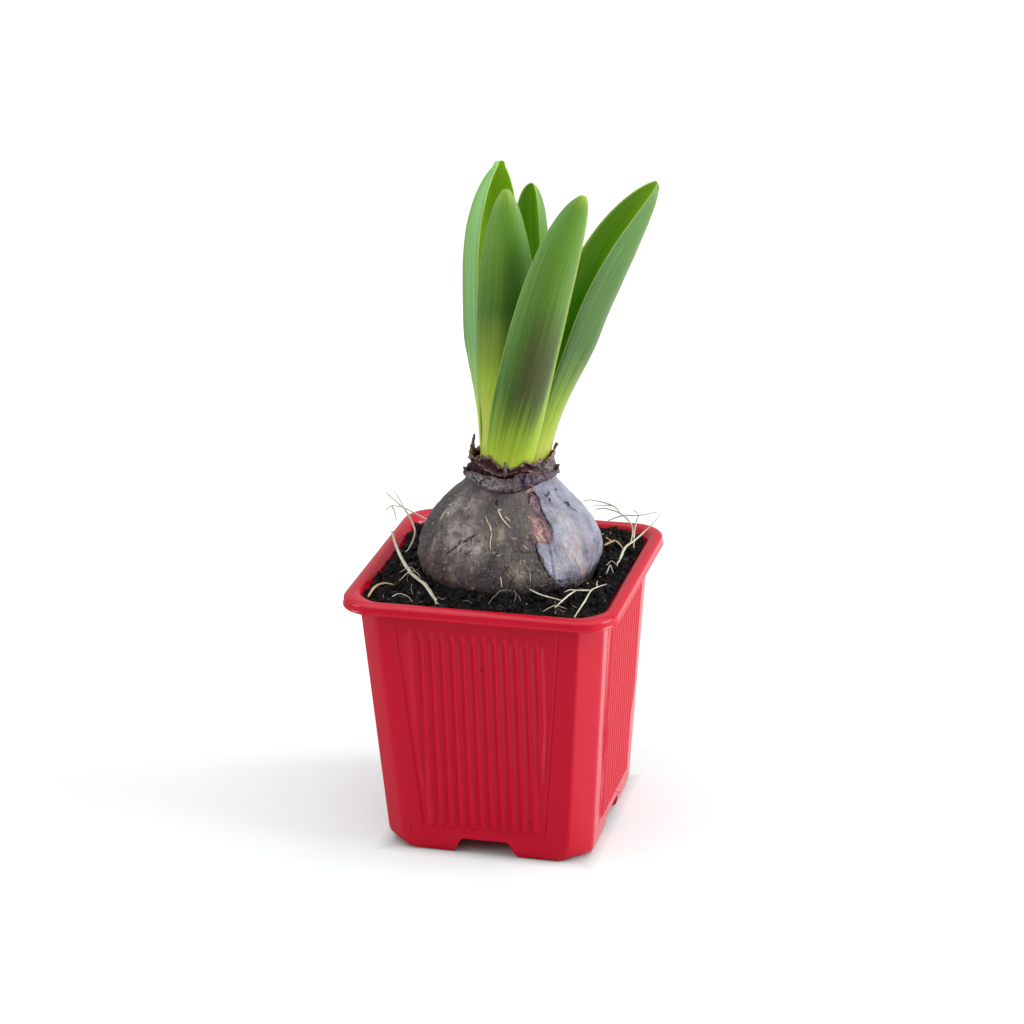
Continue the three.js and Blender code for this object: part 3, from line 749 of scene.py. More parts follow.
# marks on the skin: half width, depth, how dark, and a chain of turns in degrees and heights
bulbMarks = [
    (0.42, 0.7, 0.9, [(-51, 120.5), (-44, 118.1), (-43.1, 115.7), (-43.9, 112.7), (-41.3, 109.5), (-42.7, 107.6)]),
    (0.4, 0.55, 0.9, [(-57.1, 106.3), (-56.9, 103.8), (-57.7, 101.8), (-55.1, 99.6), (-51.4, 95.9), (-47, 94),
                      (-43.4, 93.3), (-36, 92.4)]),
    (0.34, 0.4, 0.9, [(-49.5, 121), (-50.5, 119.3), (-54.6, 116.5)]),
    (0.3, 0.25, 0.55, [(-54, 115.3), (-50.4, 114.6), (-49.6, 114), (-52.5, 113.1)]),
    (0.27, 0.3, 0.6, [(-70.4, 106.1), (-68, 107.6), (-63.6, 108.2), (-59.6, 107.2), (-58.6, 105.5), (-61.2, 104.2),
                      (-65.8, 103.9), (-69.4, 104.7), (-70.4, 106.1)]),
    (0.27, 0.6, 0.9, [(-118.6, 101.6), (-115.8, 103.1), (-112.4, 104.9), (-112.4, 105.9), (-107.4, 106.1),
                      (-106, 107.2), (-102.3, 108)]),
    (0.22, 0.35, 0.85, [(-114.1, 104.2), (-111.5, 103.2), (-108.5, 103.3)]),
    (0.2, 0.3, 0.7, [(-115.1, 103.3), (-113, 101.9), (-110.6, 102.4)]),
    (0.4, 0.4, 0.9, [(-118.2, 101.8), (-117.9, 102.1)]),
    (0.45, 0.5, 0.9, [(-102.4, 103.8), (-102, 103.9)]),
    (0.5, 0.5, 0.9, [(-91.5, 117), (-90.6, 116.2)]),
    (0.26, 0.25, 1.05, [(-32.6, 117.7), (-30.2, 117.5)]),
    (0.26, 0.25, 1.05, [(-28, 117.7), (-24.4, 117.9)]),
    (0.3, 0.25, 1.0, [(-11.3, 117.4), (-8, 117.3)]),
    (0.28, 0.25, 1.0, [(-28.8, 116.5), (-29.8, 115.6)]),
    (0.28, 0.35, 1.0, [(-12, 113.7), (-7.9, 112.8), (-5.8, 111.4), (-4, 110)]),
    (0.28, 0.25, 0.95, [(-10.6, 112.4), (-6.2, 112.8)]),
    (0.25, 0.35, 0.75, [(-109.5, 104.2), (-108.6, 102.8), (-107.2, 102.4)]),
    (0.25, 0.35, 0.75, [(-105.6, 104), (-104.6, 102.6), (-105.5, 101.4)]),
    (0.25, 0.3, 0.9, [(-104.8, 107.2), (-103.6, 106.6)]),
    (0.35, 0.3, 0.6, [(-46.4, 105.2), (-45, 102.6), (-44.4, 100.4), (-41, 97.6)]),
    (0.5, 0.4, 0.45, [(-78, 100), (-75, 96.5), (-77, 91), (-74, 88)]),
    (0.25, 0.3, 0.6, [(-107.6, 106.2), (-106, 104.6), (-104.5, 104.9)]),
    (0.25, 0.3, 0.6, [(-112.4, 105.9), (-113.6, 107.6)]),
    (0.3, 0.3, 0.4, [(-86, 106), (-84, 104), (-86, 102)]),
    (0.3, 0.3, 0.4, [(-128, 99), (-124, 97.5), (-121, 98)]),
]


# broad tints on the skin: turn, height, half width in degrees, half height in millimetres
skinTints = {
    "slate": [(-143, 104, 8, 6), (-95, 115.6, 7, 2), (-70.7, 113, 6, 5), (-79, 106, 5, 3), (-89, 98, 9, 3.4),
        (-64, 100, 5, 5), (-60, 92, 12, 2.5), (-150, 112, 8, 4), (60, 104, 30, 6), (150, 108, 40, 5)],
    # pale: real pale skin, and high on the left side a painted sheen
    "pale": [(-112, 106.5, 11, 5), (-121, 108, 8, 4), (-120, 115, 12, 3), (-138, 113.6, 10, 4), (-98, 104, 6, 4)],
    "rust": [(-127, 97.5, 9, 3), (-119, 93.6, 8, 2), (-140, 97, 6, 4), (-76, 100, 5, 3)],
    "mauve": [(-109, 118.4, 8, 1.5), (-60, 118.6, 6, 1.2)],
    "beige": [(-113.8, 97.5, 2.2, 0.9), (-110.9, 94.7, 2.2, 1.1), (-115.5, 93.9, 2.6, 0.8), (-99.8, 98.5, 1.4, 1.8),
        (-99.1, 92.2, 1.3, 0.9), (-83, 108.6, 4, 2), (-70.5, 97.7, 5, 3), (-133.5, 103, 3, 4)],
    "rosy": [(-52, 109, 5, 2.4), (-54, 111.6, 3.5, 1.6), (-52, 120, 4, 0.9)],
    "lilac": [(-50, 116.5, 4.5, 3), (-47, 119.5, 6, 1.5), (-60, 114, 4, 3)],
    "cream": [(-22, 107.5, 5, 5), (-34, 103, 4, 4), (-43, 98, 4, 2), (-28, 98.5, 3, 3), (-30, 110.5, 4, 2)],
    "blot": [(-19.3, 99.6, 4.5, 3), (-36.2, 94.6, 7, 1.8), (-46, 93, 5, 1.5), (0, 99, 6, 5), (-12, 95, 5, 2),
        (-9, 112.6, 4, 1.5)],
    "warm": [(-21.8, 93.6, 5, 2), (-26, 103, 2, 3), (-12, 103, 2, 4)],
}


def tintAt(name, turn, z, point):
    best = 0.0
    for middleTurn, middleZ, wide, tall in skinTints[name]:
        away = (wrapTurn(turn - middleTurn) / wide) ** 2 + ((z - middleZ) / tall) ** 2
        if away < 6:
            best = max(best, math.exp(-away))
    return clamp(best * (1 + 0.9 * noise.noise(point * 0.5) + 0.5 * noise.noise(point * 1.6)))


def chainDistance(chain, turn, z, radius):  # in millimetres on the skin
    best = 99.0
    for (turnA, zA), (turnB, zB) in zip(chain, chain[1:]):
        scale = math.radians(1) * radius
        px = wrapTurn(turn - turnA) * scale
        pz = z - zA
        bx = wrapTurn(turnB - turnA) * scale
        bz = zB - zA
        share = clamp((px * bx + pz * bz) / (bx * bx + bz * bz))
        best = min(best, math.hypot(px - bx * share, pz - bz * share))
    return best


def bulbTurns():  # closer together on the side that the photograph shows
    turns = []
    angle = -178.0
    while angle < 182:
        turns.append(math.radians(angle))
        seen = smooth(angle, -174, -164) * (1 - smooth(angle, 14, 30))
        angle += lerp(bulbPlan["wideTurns"], bulbPlan["closeTurns"], seen)
    return turns


def skinRelief(point, turn, radius, z, panel):  # how far the skin stands out, and how dark its creases are
    push = 0.0
    crease = 0.0
    wobble = 1.2 * noise.noise(point * 0.5) + 0.9 * noise.noise(point * 1.7)
    jolt = 0.4 * wobble + 0.5 * noise.noise(point * 2.6)
    for halfWidth, depth, dark, chain in bulbMarks:
        away = chainDistance(chain, wrapTurn(math.degrees(turn)) + wobble, z + jolt, radius)
        if away < reliefPlan["markReach"]:
            wide = halfWidth * (0.7 + 0.5 * noise.noise(point * 1.1))
            push -= reliefPlan["markSink"] * depth * bump(away, 0, wide)
            push += reliefPlan["markRim"] * depth * bump(away, reliefPlan["rimReach"] * wide, wide)
            crease = max(crease, dark * clamp(1 - away / reliefPlan["stain"]))
    body = smooth(radius, 12, 20)
    along = Vector((math.cos(turn) * 9, math.sin(turn) * 9, z * 0.12))
    fibre = 1 - abs(noise.fractal(along * 1.1, 0.7, 2.0, 4))
    coarse = lerp(1.0, reliefPlan["onPanel"], panel)
    push += body * coarse * reliefPlan["fibres"] * (fibre ** 4 - 0.5)
    push += body * reliefPlan["waves"] * rough(point, 0.09, 3, 4.0)
    push += body * coarse * reliefPlan["wrinkles"] * (1 - abs(rough(point, 0.3, 4, 9.0))) ** 3
    push += coarse * reliefPlan["grain"] * rough(point, 1.3, 2, 6.0)
    return push, crease


def makeBulb():
    turns = bulbTurns()
    buried = [pair for pair in bulbPlan["outline"] if pair[1] <= bulbPlan["soilLine"]]
    shown = [pair for pair in bulbPlan["outline"] if pair[1] >= bulbPlan["soilLine"]]
    rows = smoothOutline(buried, bulbPlan["buriedRows"])[:-1] + smoothOutline(shown, bulbPlan["shownRows"])
    outer, inner = bulbPlan["outer"], bulbPlan["inner"]
    lip = [(outer, 119.8), (outer - 0.1, 120.9), (outer - 0.4, 121.3), (inner + 0.1, 121.3), (inner, 120.6)]
    lip.append((inner, bulbPlan["seat"]))
    rings = []
    numbers = {name: [] for name in ["panel", "pink", "crease", "low", *skinTints]}
    for radius, z in rows + lip:
        ring = []
        onSkin = z < bulbPlan["skinTop"] and (radius, z) not in lip
        painted = z > bulbPlan["paintedFrom"]
        for turn in turns:
            degrees = wrapTurn(math.degrees(turn))
            point = Vector(bulbShape(radius, z, turn))
            out = Vector((math.cos(turn), math.sin(turn), 0))
            panel = panelMask(degrees, z, point)
            push, crease = skinRelief(point, turn, radius, z, panel) if onSkin and painted else (0.0, 0.0)
            if onSkin:
                push += reliefPlan["panel"] * panel
            numbers["panel"].append(panel)
            numbers["pink"].append(pinkMask(degrees, z, point))
            numbers["crease"].append(crease)
            numbers["low"].append(1 - smooth(z + 2.5 * rough(point, 0.2, 3, 2.0), *maskPlan["earthLine"]))
            for name in skinTints:
                numbers[name].append(tintAt(name, degrees, z, point) if painted else 0.0)
            ring.append(tuple(point + out * push))
        rings.append(ring)
    bulb = stackMesh("bulbSkin", rings)
    for name, values in numbers.items():
        storeNumbers(bulb, name, values + [0.0, 0.0])
    return bulb


def panelMask(degrees, z, point):
    wobble = 2.2 * noise.noise(point * 0.4)
    past = wrapTurn(degrees - alongStops(seamStops, z, shareAt) + wobble)
    rightEnd = 1 - smooth(past, *maskPlan["panelEnd"])
    lowEnd = smooth(z + 2.5 * noise.noise(point * 0.25), *maskPlan["panelFoot"])
    return smooth(past, *maskPlan["panelSeam"]) * rightEnd * lowEnd


def pinkMask(degrees, z, point):
    wobble = 3.4 * noise.noise(point * 0.5) + 1.6 * noise.noise(point * 1.5)
    leftEdge = lerp(*maskPlan["pinkLeft"], smooth(z, *maskPlan["pinkLeftAt"]))
    before, after = maskPlan["pinkSoft"]
    strip = smooth(degrees + wobble, leftEdge - before, leftEdge + after)
    strip *= 1 - smooth(degrees, *maskPlan["pinkRight"])
    high = smooth(z + wobble * 0.5, *maskPlan["pinkFoot"]) * (1 - smooth(z, *maskPlan["pinkTop"]))
    return strip * high


def bulbFinish():
    look = palette(
        skin=(97, 87, 84), darkSkin=(30, 27, 28), straw=(206, 188, 164),
        panel=(172, 177, 199), panelDark=(104, 100, 118), pink=(110, 72, 84),
        pinkDark=(54, 24, 34), pinkPale=(214, 176, 172), crease=(20, 13, 16),
        rosy=(222, 168, 166), lilac=(180, 152, 168), earth=(32, 23, 22),
        slate=(50, 56, 64), beige=(172, 154, 132), pale=(190, 178, 174),
        rust=(80, 54, 46), mauve=(150, 127, 136), cream=(208, 201, 194),
        blot=(82, 78, 94), warm=(190, 154, 138), rose=(86, 54, 58),
    )
    material, tree, shader = newMaterial("paperyBulbSkin", Specular_IOR_Level=0.6)
    place = objectPlace(tree)
    parts = partsOf(tree, place)
    outward = vectorCalc(tree, "NORMALIZE", {0: joinParts(tree, parts[0], parts[1], 0.0)})
    upward = joinParts(tree, 0.0, 0.0, product(tree, parts[2], 8.0))
    roundMap = vectorCalc(tree, "ADD", {0: outward, 1: upward})
    fine = noiseAt(tree, place, 480.0, 7.0, 0.78, 0.6)
    coarse = calc(tree, "MULTIPLY_ADD", readNumber(tree, "panel"), -0.6, 1.0)

    def tinted(base, name, amount):
        broken = fade(tree, fine, 0.4, 0.58, 0.3)
        return layOn(tree, base, look[name], readNumber(tree, name), broken, amount)

    def along(scale, *settings):  # noise that follows the round skin
        return noiseAt(tree, stretched(tree, roundMap, scale), 1.0, *settings)

    # brown skin
    rose = fade(tree, noiseAt(tree, place, 75.0, 4.0, 0.6, 0.4), 0.5, 0.66)
    cloudy = mottled(tree, place, 120.0, 1500.0, 0.85, look["skin"], look["darkSkin"])
    skin = layOn(tree, cloudy["Color"], look["rose"], rose, 0.4)
    for name in ("pale", "slate", "rust", "mauve", "beige"):
        skin = tinted(skin, name, 0.95)

    # smooth panel
    panelSkin = mottled(tree, place, 120.0, 1500.0, 0.75, look["panel"], look["panelDark"])["Color"]
    for name in ("cream", "blot", "warm"):
        panelSkin = tinted(panelSkin, name, 0.9)
    skin = layOn(tree, skin, panelSkin, readNumber(tree, "panel"))

    # pink strip
    pinkSkin = mottled(tree, place, 420.0, 2000.0, 1.0, look["pink"], look["pinkDark"])["Color"]
    pinkSkin = tinted(tinted(pinkSkin, "lilac", 0.95), "rosy", 1.0)
    bits = noiseAt(tree, stretched(tree, place, (700.0, 700.0, 260.0)), 1.0, 3.0, 0.6, 0.5)
    rosyShare = calc(tree, "MAXIMUM", readNumber(tree, "rosy"), 0.25)
    pinkSkin = layOn(tree, pinkSkin, look["pinkPale"], fade(tree, bits, 0.54, 0.64, 0.0, 0.9), rosyShare)
    skin = layOn(tree, skin, pinkSkin, readNumber(tree, "pink"))

    # streaks, flecks and cracks over all of it, with painted highlights beside the cracks and painted glints
    streaks = fade(tree, along((38.0, 38.0, 6.0), 4.0, 0.65, 0.6), 0.55, 0.68)
    skin = layOn(tree, skin, look["straw"], streaks, 0.12)
    darkStreaks = fade(tree, along((24.0, 24.0, 9.0), 5.0, 0.7, 1.2), 0.58, 0.7)
    skin = layOn(tree, skin, look["crease"], darkStreaks, 0.3)
    flecks = fade(tree, noiseAt(tree, place, 800.0, 3.0, 0.65, 0.3), 0.62, 0.7, 0.0, 0.75)
    skin = layOn(tree, skin, look["straw"], flecks)
    warp = putNode(tree, "ShaderNodeTexNoise", {"Vector": place, "Scale": 420.0, "Detail": 3.0}).outputs[1]
    evenMap = stretched(tree, place, (300.0, 300.0, 150.0))
    veinMap = vectorCalc(tree, "MULTIPLY_ADD", {0: warp, 1: (1.4, 1.4, 1.4), 2: evenMap})
    veinSockets = {"Vector": veinMap, "Scale": 1.0}
    vein = putNode(tree, "ShaderNodeTexVoronoi", veinSockets, feature="DISTANCE_TO_EDGE").outputs[0]
    patchy = fade(tree, noiseAt(tree, place, 90.0, 2.0, 0.5), 0.54, 0.72, 0.0, 0.6)
    cracks = product(tree, fade(tree, vein, 0.0, 0.03, 1.0, 0.0), patchy)
    skin = layOn(tree, skin, look["crease"], cracks, 0.45)
    # painted highlight: pale colour beside the cracks
    beside = ramp(tree, vein, [(0.03, 0.0), (0.07, 0.4), (0.12, 0.0)])
    skin = layOn(tree, skin, look["pale"], patchy, beside, coarse)
    glints = fade(tree, along((90.0, 90.0, 42.0), 6.0, 0.75, 1.5), 0.58, 0.66, 0.0, 0.4)
    skin = layOn(tree, skin, look["beige"], glints, coarse)
    skin = layOn(tree, skin, look["crease"], fade(tree, fine, 0.3, 0.44, 0.7, 0.0), coarse)
    # darker towards the bottom of the bulb
    skin = layOn(tree, skin, look["earth"], readNumber(tree, "low"), 0.8)
    centredFine = calc(tree, "SUBTRACT", fine, 0.5)
    jagged = calc(tree, "MULTIPLY_ADD", centredFine, 0.75, readNumber(tree, "crease"))
    torn = fade(tree, jagged, 0.66, 0.8, 0.0, 0.9)
    smudge = fade(tree, jagged, 0.3, 0.8, 0.0, 0.35)
    skin = layOn(tree, skin, look["crease"], calc(tree, "MAXIMUM", torn, smudge))

    fibres = along((50.0, 50.0, 30.0), 5.0, 0.65, 0.7)
    grain = noiseAt(tree, place, 700.0, 5.0, 0.65)
    height = calc(tree, "MULTIPLY_ADD", grain, 0.9, fibres)
    height = calc(tree, "MULTIPLY_ADD", fine, 0.9, height)
    sunken = calc(tree, "MULTIPLY_ADD", cracks, 0.3, product(tree, torn, 1.5))
    height = calc(tree, "SUBTRACT", height, sunken)
    plug(tree, shader, {
        "Base Color": skin, "Roughness": calc(tree, "MULTIPLY_ADD", fine, 0.5, 0.08),
        "Normal": bumpFrom(tree, height, 0.95, 0.001),
    })
    return material


bulb = makeBulb()
finishPiece(bulb, bulbFinish(), ["bulb"])


# the leaves

leafPlans = [
    {"name": "leaf_front", "rootTurn": -83.5, "turn": -55.5, "rootRoll": 35, "roll": 60, "rootHeight": 119.5,
     "rootRadius": 10.6, "halfWidth": 9.2, "widest": 0.45, "taper": 0.6,
     "low": (5, -10.5, 140), "high": (18.5, -13.3, 199), "tip": (30.6, -15.4, 218.5)},
    {"name": "leaf_front_left", "rootTurn": -157, "turn": -82, "rootRoll": 31, "roll": 59, "rootHeight": 119.7,
     "rootRadius": 10.6, "halfWidth": 9.3, "widest": 0.6, "taper": 0.61,
     "low": (5, -3.3, 146.5), "high": (2, -5.1, 178.5), "tip": (3.3, -4.2, 216.3)},
    {"name": "leaf_back_left", "rootTurn": 134.5, "turn": 147.5, "rootRoll": 35, "roll": 107, "rootHeight": 119.8,
     "rootRadius": 10.3, "halfWidth": 9, "widest": 0.65, "taper": 0.82, "tipRound": 1.7,
     "low": (-3.3, 9.5, 139), "high": (-3.3, 10.5, 195), "tip": (-2.2, 11.4, 221)},
    {"name": "leaf_back", "rootTurn": 50, "turn": 51, "rootRoll": 45, "roll": 83, "rootHeight": 119.5,
     "rootRadius": 6.6, "halfWidth": 6.9, "widest": 0.68, "taper": 0.68, "tipRound": 1.2,
     "low": (11.9, 6.7, 154), "high": (3, 6.6, 202.6), "tip": (8.4, 8.8, 215)},
    {"name": "leaf_right", "rootTurn": 2, "turn": 33, "rootRoll": 44, "roll": 106, "rootHeight": 119.9,
     "rootRadius": 10.6, "halfWidth": 9.7, "widest": 0.63, "taper": 0.63, "tipRound": 1.6,
     "low": (10.9, 5.3, 151), "high": (14.2, 16.3, 188.5), "tip": (44, 28.8, 212)},
]
leafDetail = {
    "steps": 120, "across": 32, "crowdedTip": 1.35, "thickness": 2.6, "thinnest": 0.6, "tipRound": 1.7,
    "thinning": 0.55, "settled": 0.5, "ridge": 0.05, "ridges": 5.2,
}


def bezierAt(points, t):
    a, b, c, d = points
    s = 1 - t
    place = a * s ** 3 + b * 3 * s * s * t + c * 3 * s * t * t + d * t ** 3
    along = (b - a) * 3 * s * s + (c - b) * 6 * s * t + (d - c) * 3 * t * t
    return place, along.normalized()


def leafWidth(plan, rootWidth, t, toTip):
    grown = math.sin(min(t / plan["widest"], 1) * math.pi / 2)
    full = rootWidth + (plan["halfWidth"] - rootWidth) * grown
    past = shareAt(t, plan["widest"], 1)
    blunt = plan.get("tipRound", leafDetail["tipRound"])
    cap = math.sqrt(max(blunt ** 2 - max(blunt - toTip, 0) ** 2, 0.01))
    return max(full * (1 - past * past) ** plan["taper"], min(cap, full))


def makeLeaf(plan):
    steps = leafDetail["steps"]
    across = leafDetail["across"]
    rootTurn = math.radians(plan["rootTurn"])
    rootRoll = math.radians(plan["rootRoll"])
    rootWidth = plan["rootRadius"] * math.sin(rootRoll)
    rootOut = plan["rootRadius"] * math.cos(rootRoll)
    axis = bulbPlan["neckAxis"]
    root = Vector((axis[0] + rootOut * math.cos(rootTurn), axis[1] + rootOut * math.sin(rootTurn), plan["rootHeight"]))
    guides = [root] + [Vector(plan[key]) for key in ("low", "high", "tip")]
    rings = []
    numbers = {"leafAcross": [], "leafAlong": [], "leafInner": []}
    for step in range(steps + 1):
        t = 1 - (1 - step / steps) ** leafDetail["crowdedTip"]
        centre, along = bezierAt(guides, t)
        settle = smooth(t, 0, leafDetail["settled"])
        turn = lerp(rootTurn, math.radians(plan["turn"]), settle)
        roll = lerp(rootRoll, math.radians(plan["roll"]), settle)
        back = Vector((math.cos(turn), math.sin(turn), 0))
        back = (back - along * back.dot(along)).normalized()
        sideways = along.cross(back)
        width = leafWidth(plan, rootWidth, t, (guides[-1] - centre).length)
        radius = width / math.sin(roll)
        ring = []
        for side in range(2 * across):
            outer = side < across
            share = (side + 0.5) / across if outer else (2 * across - side - 0.5) / across
            u = 2 * clamp(share) - 1
            u = math.sin(u * math.pi / 2) if abs(u) > 0.97 else u
            bow = max(math.cos(u * math.pi / 2), 0) ** 0.8
            flesh = leafDetail["thickness"] * (1 - leafDetail["thinning"] * t) * (0.3 + 0.7 * bow)
            thick = min(max(flesh, leafDetail["thinnest"]), width)
            edge = math.sqrt(max(0.0, 1 - max(0.0, (abs(u) - 0.9) / 0.1) ** 2 * 0.8))
            layer = 0.5 * edge if outer else -0.5 * edge
            wave = math.sin(u * roll * radius * leafDetail["ridges"])
            ridge = leafDetail["ridge"] * wave * (1 - abs(u) ** 6) if outer else 0.0
            reach = radius + layer * thick + ridge * smooth(t, 0, 0.1) * (1 - smooth(t, 0.85, 1))
            ring.append(tuple(
                centre + back * (reach * math.cos(u * roll) - radius * math.cos(roll))
                + sideways * (reach * math.sin(u * roll))))
            numbers["leafAcross"].append(u)
            numbers["leafAlong"].append(t)
            numbers["leafInner"].append(0.0 if outer else 1.0)
        rings.append(ring)
    leaf = stackMesh(plan["name"].replace("leaf_", "leafOf_"), rings)
    for name, values in numbers.items():
        storeNumbers(leaf, name, values + [0.0, 0.0 if name != "leafAlong" else 1.0])
    fixNormals(leaf)
    return leaf


plainLeaf = {  # places run from -1 to 1 across and from 0 to 1 along a leaf
    "brown": 0.0, "brownPlace": (0.4, 0.2, 0.0), "shade": 0.0, "paintedShadowFrom": 0.5, "innerGlow": 0.8,
    "innerPaintedLight": 0.0, "yellow": 0.25, "highlightLine": 0.0,
}
# per leaf: a painted shadow on one side, a painted brightness for how the leaf faces the lamps, painted sheen at the
# margins and, on the front leaf, a painted highlight line
leafLooks = {
    "leaf_front": {**plainLeaf, "paintedLightScale": 0.88, "blue": 0.3, "seed": 1.0, "brown": 1.0, "brownPlace": (0.44, 0.2, 0.12),
                   "shade": 0.2, "paintedShadowFrom": 0.55, "yellow": 0.15, "highlightLine": 0.6},
    "leaf_front_left": {**plainLeaf, "paintedLightScale": 0.88, "blue": 0.2, "seed": 2.3, "brown": 0.3,
                        "brownPlace": (0.5, 0.12, -0.45), "shade": 0.6, "paintedShadowFrom": -0.15, "yellow": 0.42},
    "leaf_back_left": {**plainLeaf, "paintedLightScale": 1.45, "blue": 0.8, "seed": 3.1, "innerPaintedLight": 0.9},
    "leaf_back": {**plainLeaf, "paintedLightScale": 0.9, "blue": 0.35, "seed": 4.7, "innerGlow": 0.15},
    "leaf_right": {**plainLeaf, "paintedLightScale": 0.7, "blue": 0.7, "seed": 5.9, "innerGlow": 0.5, "yellow": 0.22},
}


def leafFinish(name, plan):
    # the blue, lime and shade colours paint sheen, a highlight line and shadow
    look = palette(
        base=(214, 222, 104), low=(174, 204, 52), middle=(78, 115, 35),
        high=(100, 148, 46), tip=(150, 178, 60), blue=(128, 172, 120),
        inner=(104, 168, 0), innerDark=(66, 134, 0), margin=(200, 224, 116),
        brown=(76, 68, 46), dark=(52, 88, 30), bright=(160, 194, 104),
        lime=(176, 200, 60), shade=(30, 68, 12), innerTip=(170, 212, 54),
    )
    material, tree, shader = newMaterial(
        name, Specular_IOR_Level=0.2,
        Subsurface_Weight=0.15, Subsurface_Radius=(0.4, 1.0, 0.15), Subsurface_Scale=0.0015,
    )
    across = readNumber(tree, "leafAcross")
    along = readNumber(tree, "leafAlong")
    fromMiddle = calc(tree, "ABSOLUTE", across)
    surfaceMap = joinParts(tree, across, along, plan["seed"])
    lines = groupOutputs(tree, streakGroup, {"Map": surfaceMap, "Lines": 40.0, "Length": 2.2, "Wander": 0.2})
    veins = groupOutputs(tree, streakGroup, {"Map": surfaceMap, "Lines": 104.0, "Length": 0.8, "Wander": 0.08})
    wander = calc(tree, "MULTIPLY_ADD", calc(tree, "SUBTRACT", lines["Broad"], 0.5), 0.16, along)

    # outside, from the yellow foot to the tip
    yellow = plan["yellow"]
    outside = ramp(tree, wander, [
        (0.06, look["base"]), (yellow, look["low"]), (yellow + 0.22, look["middle"]), (0.86, look["high"]),
        (0.95, look["high"]), (1.03, look["tip"]),
    ])
    # painted sheen: blue-green toward the margins
    edge = calc(tree, "POWER", fromMiddle, 1.6)
    outside = layOn(tree, outside, look["blue"], edge, plan["blue"], fade(tree, along, 0.12, 0.4))
    brownAlong, brownSpread, brownAcross = plan["brownPlace"]
    away = calc(tree, "DIVIDE", calc(tree, "SUBTRACT", wander, brownAlong), brownSpread)
    near = calc(tree, "MAXIMUM", calc(tree, "SUBTRACT", 1.0, product(tree, away, away)), 0.0)
    aside = calc(tree, "ABSOLUTE", calc(tree, "SUBTRACT", across, brownAcross))
    brownLines = fade(tree, veins["Fine"], 0.35, 0.6, 0.6, 0.95)
    nearMiddle = fade(tree, aside, 0.3, 0.85, 1.0, 0.0)
    outside = layOn(tree, outside, look["brown"], near, nearMiddle, plan["brown"], brownLines)
    soft = ramp(tree, along, [(0.05, 0.12), (0.35, 0.55), (0.75, 0.3), (0.95, 0.1)])
    outside = layOn(tree, outside, look["dark"], fade(tree, veins["Fine"], 0.3, 0.5, 1.0, 0.0), soft)
    outside = layOn(tree, outside, look["dark"], fade(tree, lines["Fine"], 0.32, 0.56, 1.0, 0.0), soft, 0.7)
    lowLight = ramp(tree, along, [(0.15, 0.3), (0.6, 0.22), (0.9, 0.12)])
    outside = layOn(tree, outside, look["bright"], fade(tree, lines["Fine"], 0.54, 0.72), lowLight)
    # painted shadow: one side of the outside darkened in the shade colour, midway along the leaf
    spread = calc(tree, "MULTIPLY_ADD", across, 0.5, 0.5)
    turnedFrom = 0.5 + 0.5 * plan["paintedShadowFrom"]
    turned = fade(tree, spread, turnedFrom, turnedFrom + 0.2)
    midway = ramp(tree, along, [(0.25, 0.0), (0.45, 1.0), (0.8, 1.0), (0.93, 0.0)])
    outside = layOn(tree, outside, look["shade"], turned, midway, plan["shade"])
    # painted highlight: a lime line near one margin
    limeLine = ramp(tree, across, [(0.6, 0.0), (0.8, 1.0), (0.88, 1.0), (0.95, 0.0)])
    outside = layOn(tree, outside, look["lime"], limeLine, plan["highlightLine"])
    # painted light: the whole outside scaled brighter or darker by how the leaf faces the lamps
    outside = vectorCalc(tree, "SCALE", {0: outside, "Scale": plan["paintedLightScale"]})

    # inside
    inside = layOn(tree, look["innerDark"], look["inner"], fade(tree, lines["Broad"], 0.3, 0.7))
    inside = layOn(tree, inside, look["low"], fade(tree, along, 0.05, 0.35, 0.8, 0.0))
    inside = layOn(tree, inside, look["innerTip"], fade(tree, along, 0.6, 1.0, 0.0, plan["innerGlow"]))
    inside = layOn(tree, inside, look["bright"], fade(tree, fromMiddle, 0.6, 0.95, 0.0, 0.4))
    # painted light: the inside made paler where a leaf is lit more
    inside = layOn(tree, inside, look["innerTip"], plan["innerPaintedLight"])

    shade = layOn(tree, outside, inside, readNumber(tree, "leafInner"))
    shade = layOn(tree, shade, look["margin"], fade(tree, fromMiddle, 0.94, 0.985), 0.85)
    grain = noiseAt(tree, objectPlace(tree), 1800.0, 2.0, 0.5)
    height = calc(tree, "MULTIPLY_ADD", grain, 0.15, veins["Fine"])
    plug(tree, shader, {
        "Base Color": shade, "Roughness": calc(tree, "MULTIPLY_ADD", lines["Fine"], 0.2, 0.2),
        "Normal": bumpFrom(tree, height, 0.3, 0.00025),
    })
    return material


for leafPlan in leafPlans:
    leafName = leafPlan["name"]
    finishPiece(
        makeLeaf(leafPlan), leafFinish("waxyGreen_" + leafName, leafLooks[leafName]), [leafName])


# the soil

soilPlan = {
    "level": 87.1, "moundBack": 1.2, "moundFront": 4.2, "moundRadius": 27.5, "moundWidth": 7, "edgeRise": 1.4,
    "edgeWidth": 6, "cells": 236, "reach": 39.6, "clods": 2.3, "crumbs": 0.9, "gap": 0.3,
    "bottom": -3.0, "wall": 40, "cornerLump": {"rise": 3, "x": 25, "y": 35, "wideX": 5, "wideY": 4},
    "bulbWidestAt": 95.2, "bulbRoom": 0.4, "lumpGap": 0.7, "clodScale": 0.27, "crumbScale": 0.8,
    "grit": 0.35,
}


def clodAt(x, y, scale):  # pillow-like lumps with deep gaps
    near = noise.voronoi(Vector((x, y, 1.7 * scale)) * scale + Vector((0.35 * noise.noise((x, y, 0)), 0, 0)))[0]
    return clamp(near[1] - near[0], 0, soilPlan["lumpGap"]) / soilPlan["lumpGap"]


def bulbDistance(x, y):
    return math.hypot(x - bulbPlan["axis"][0], y - bulbPlan["axis"][1])


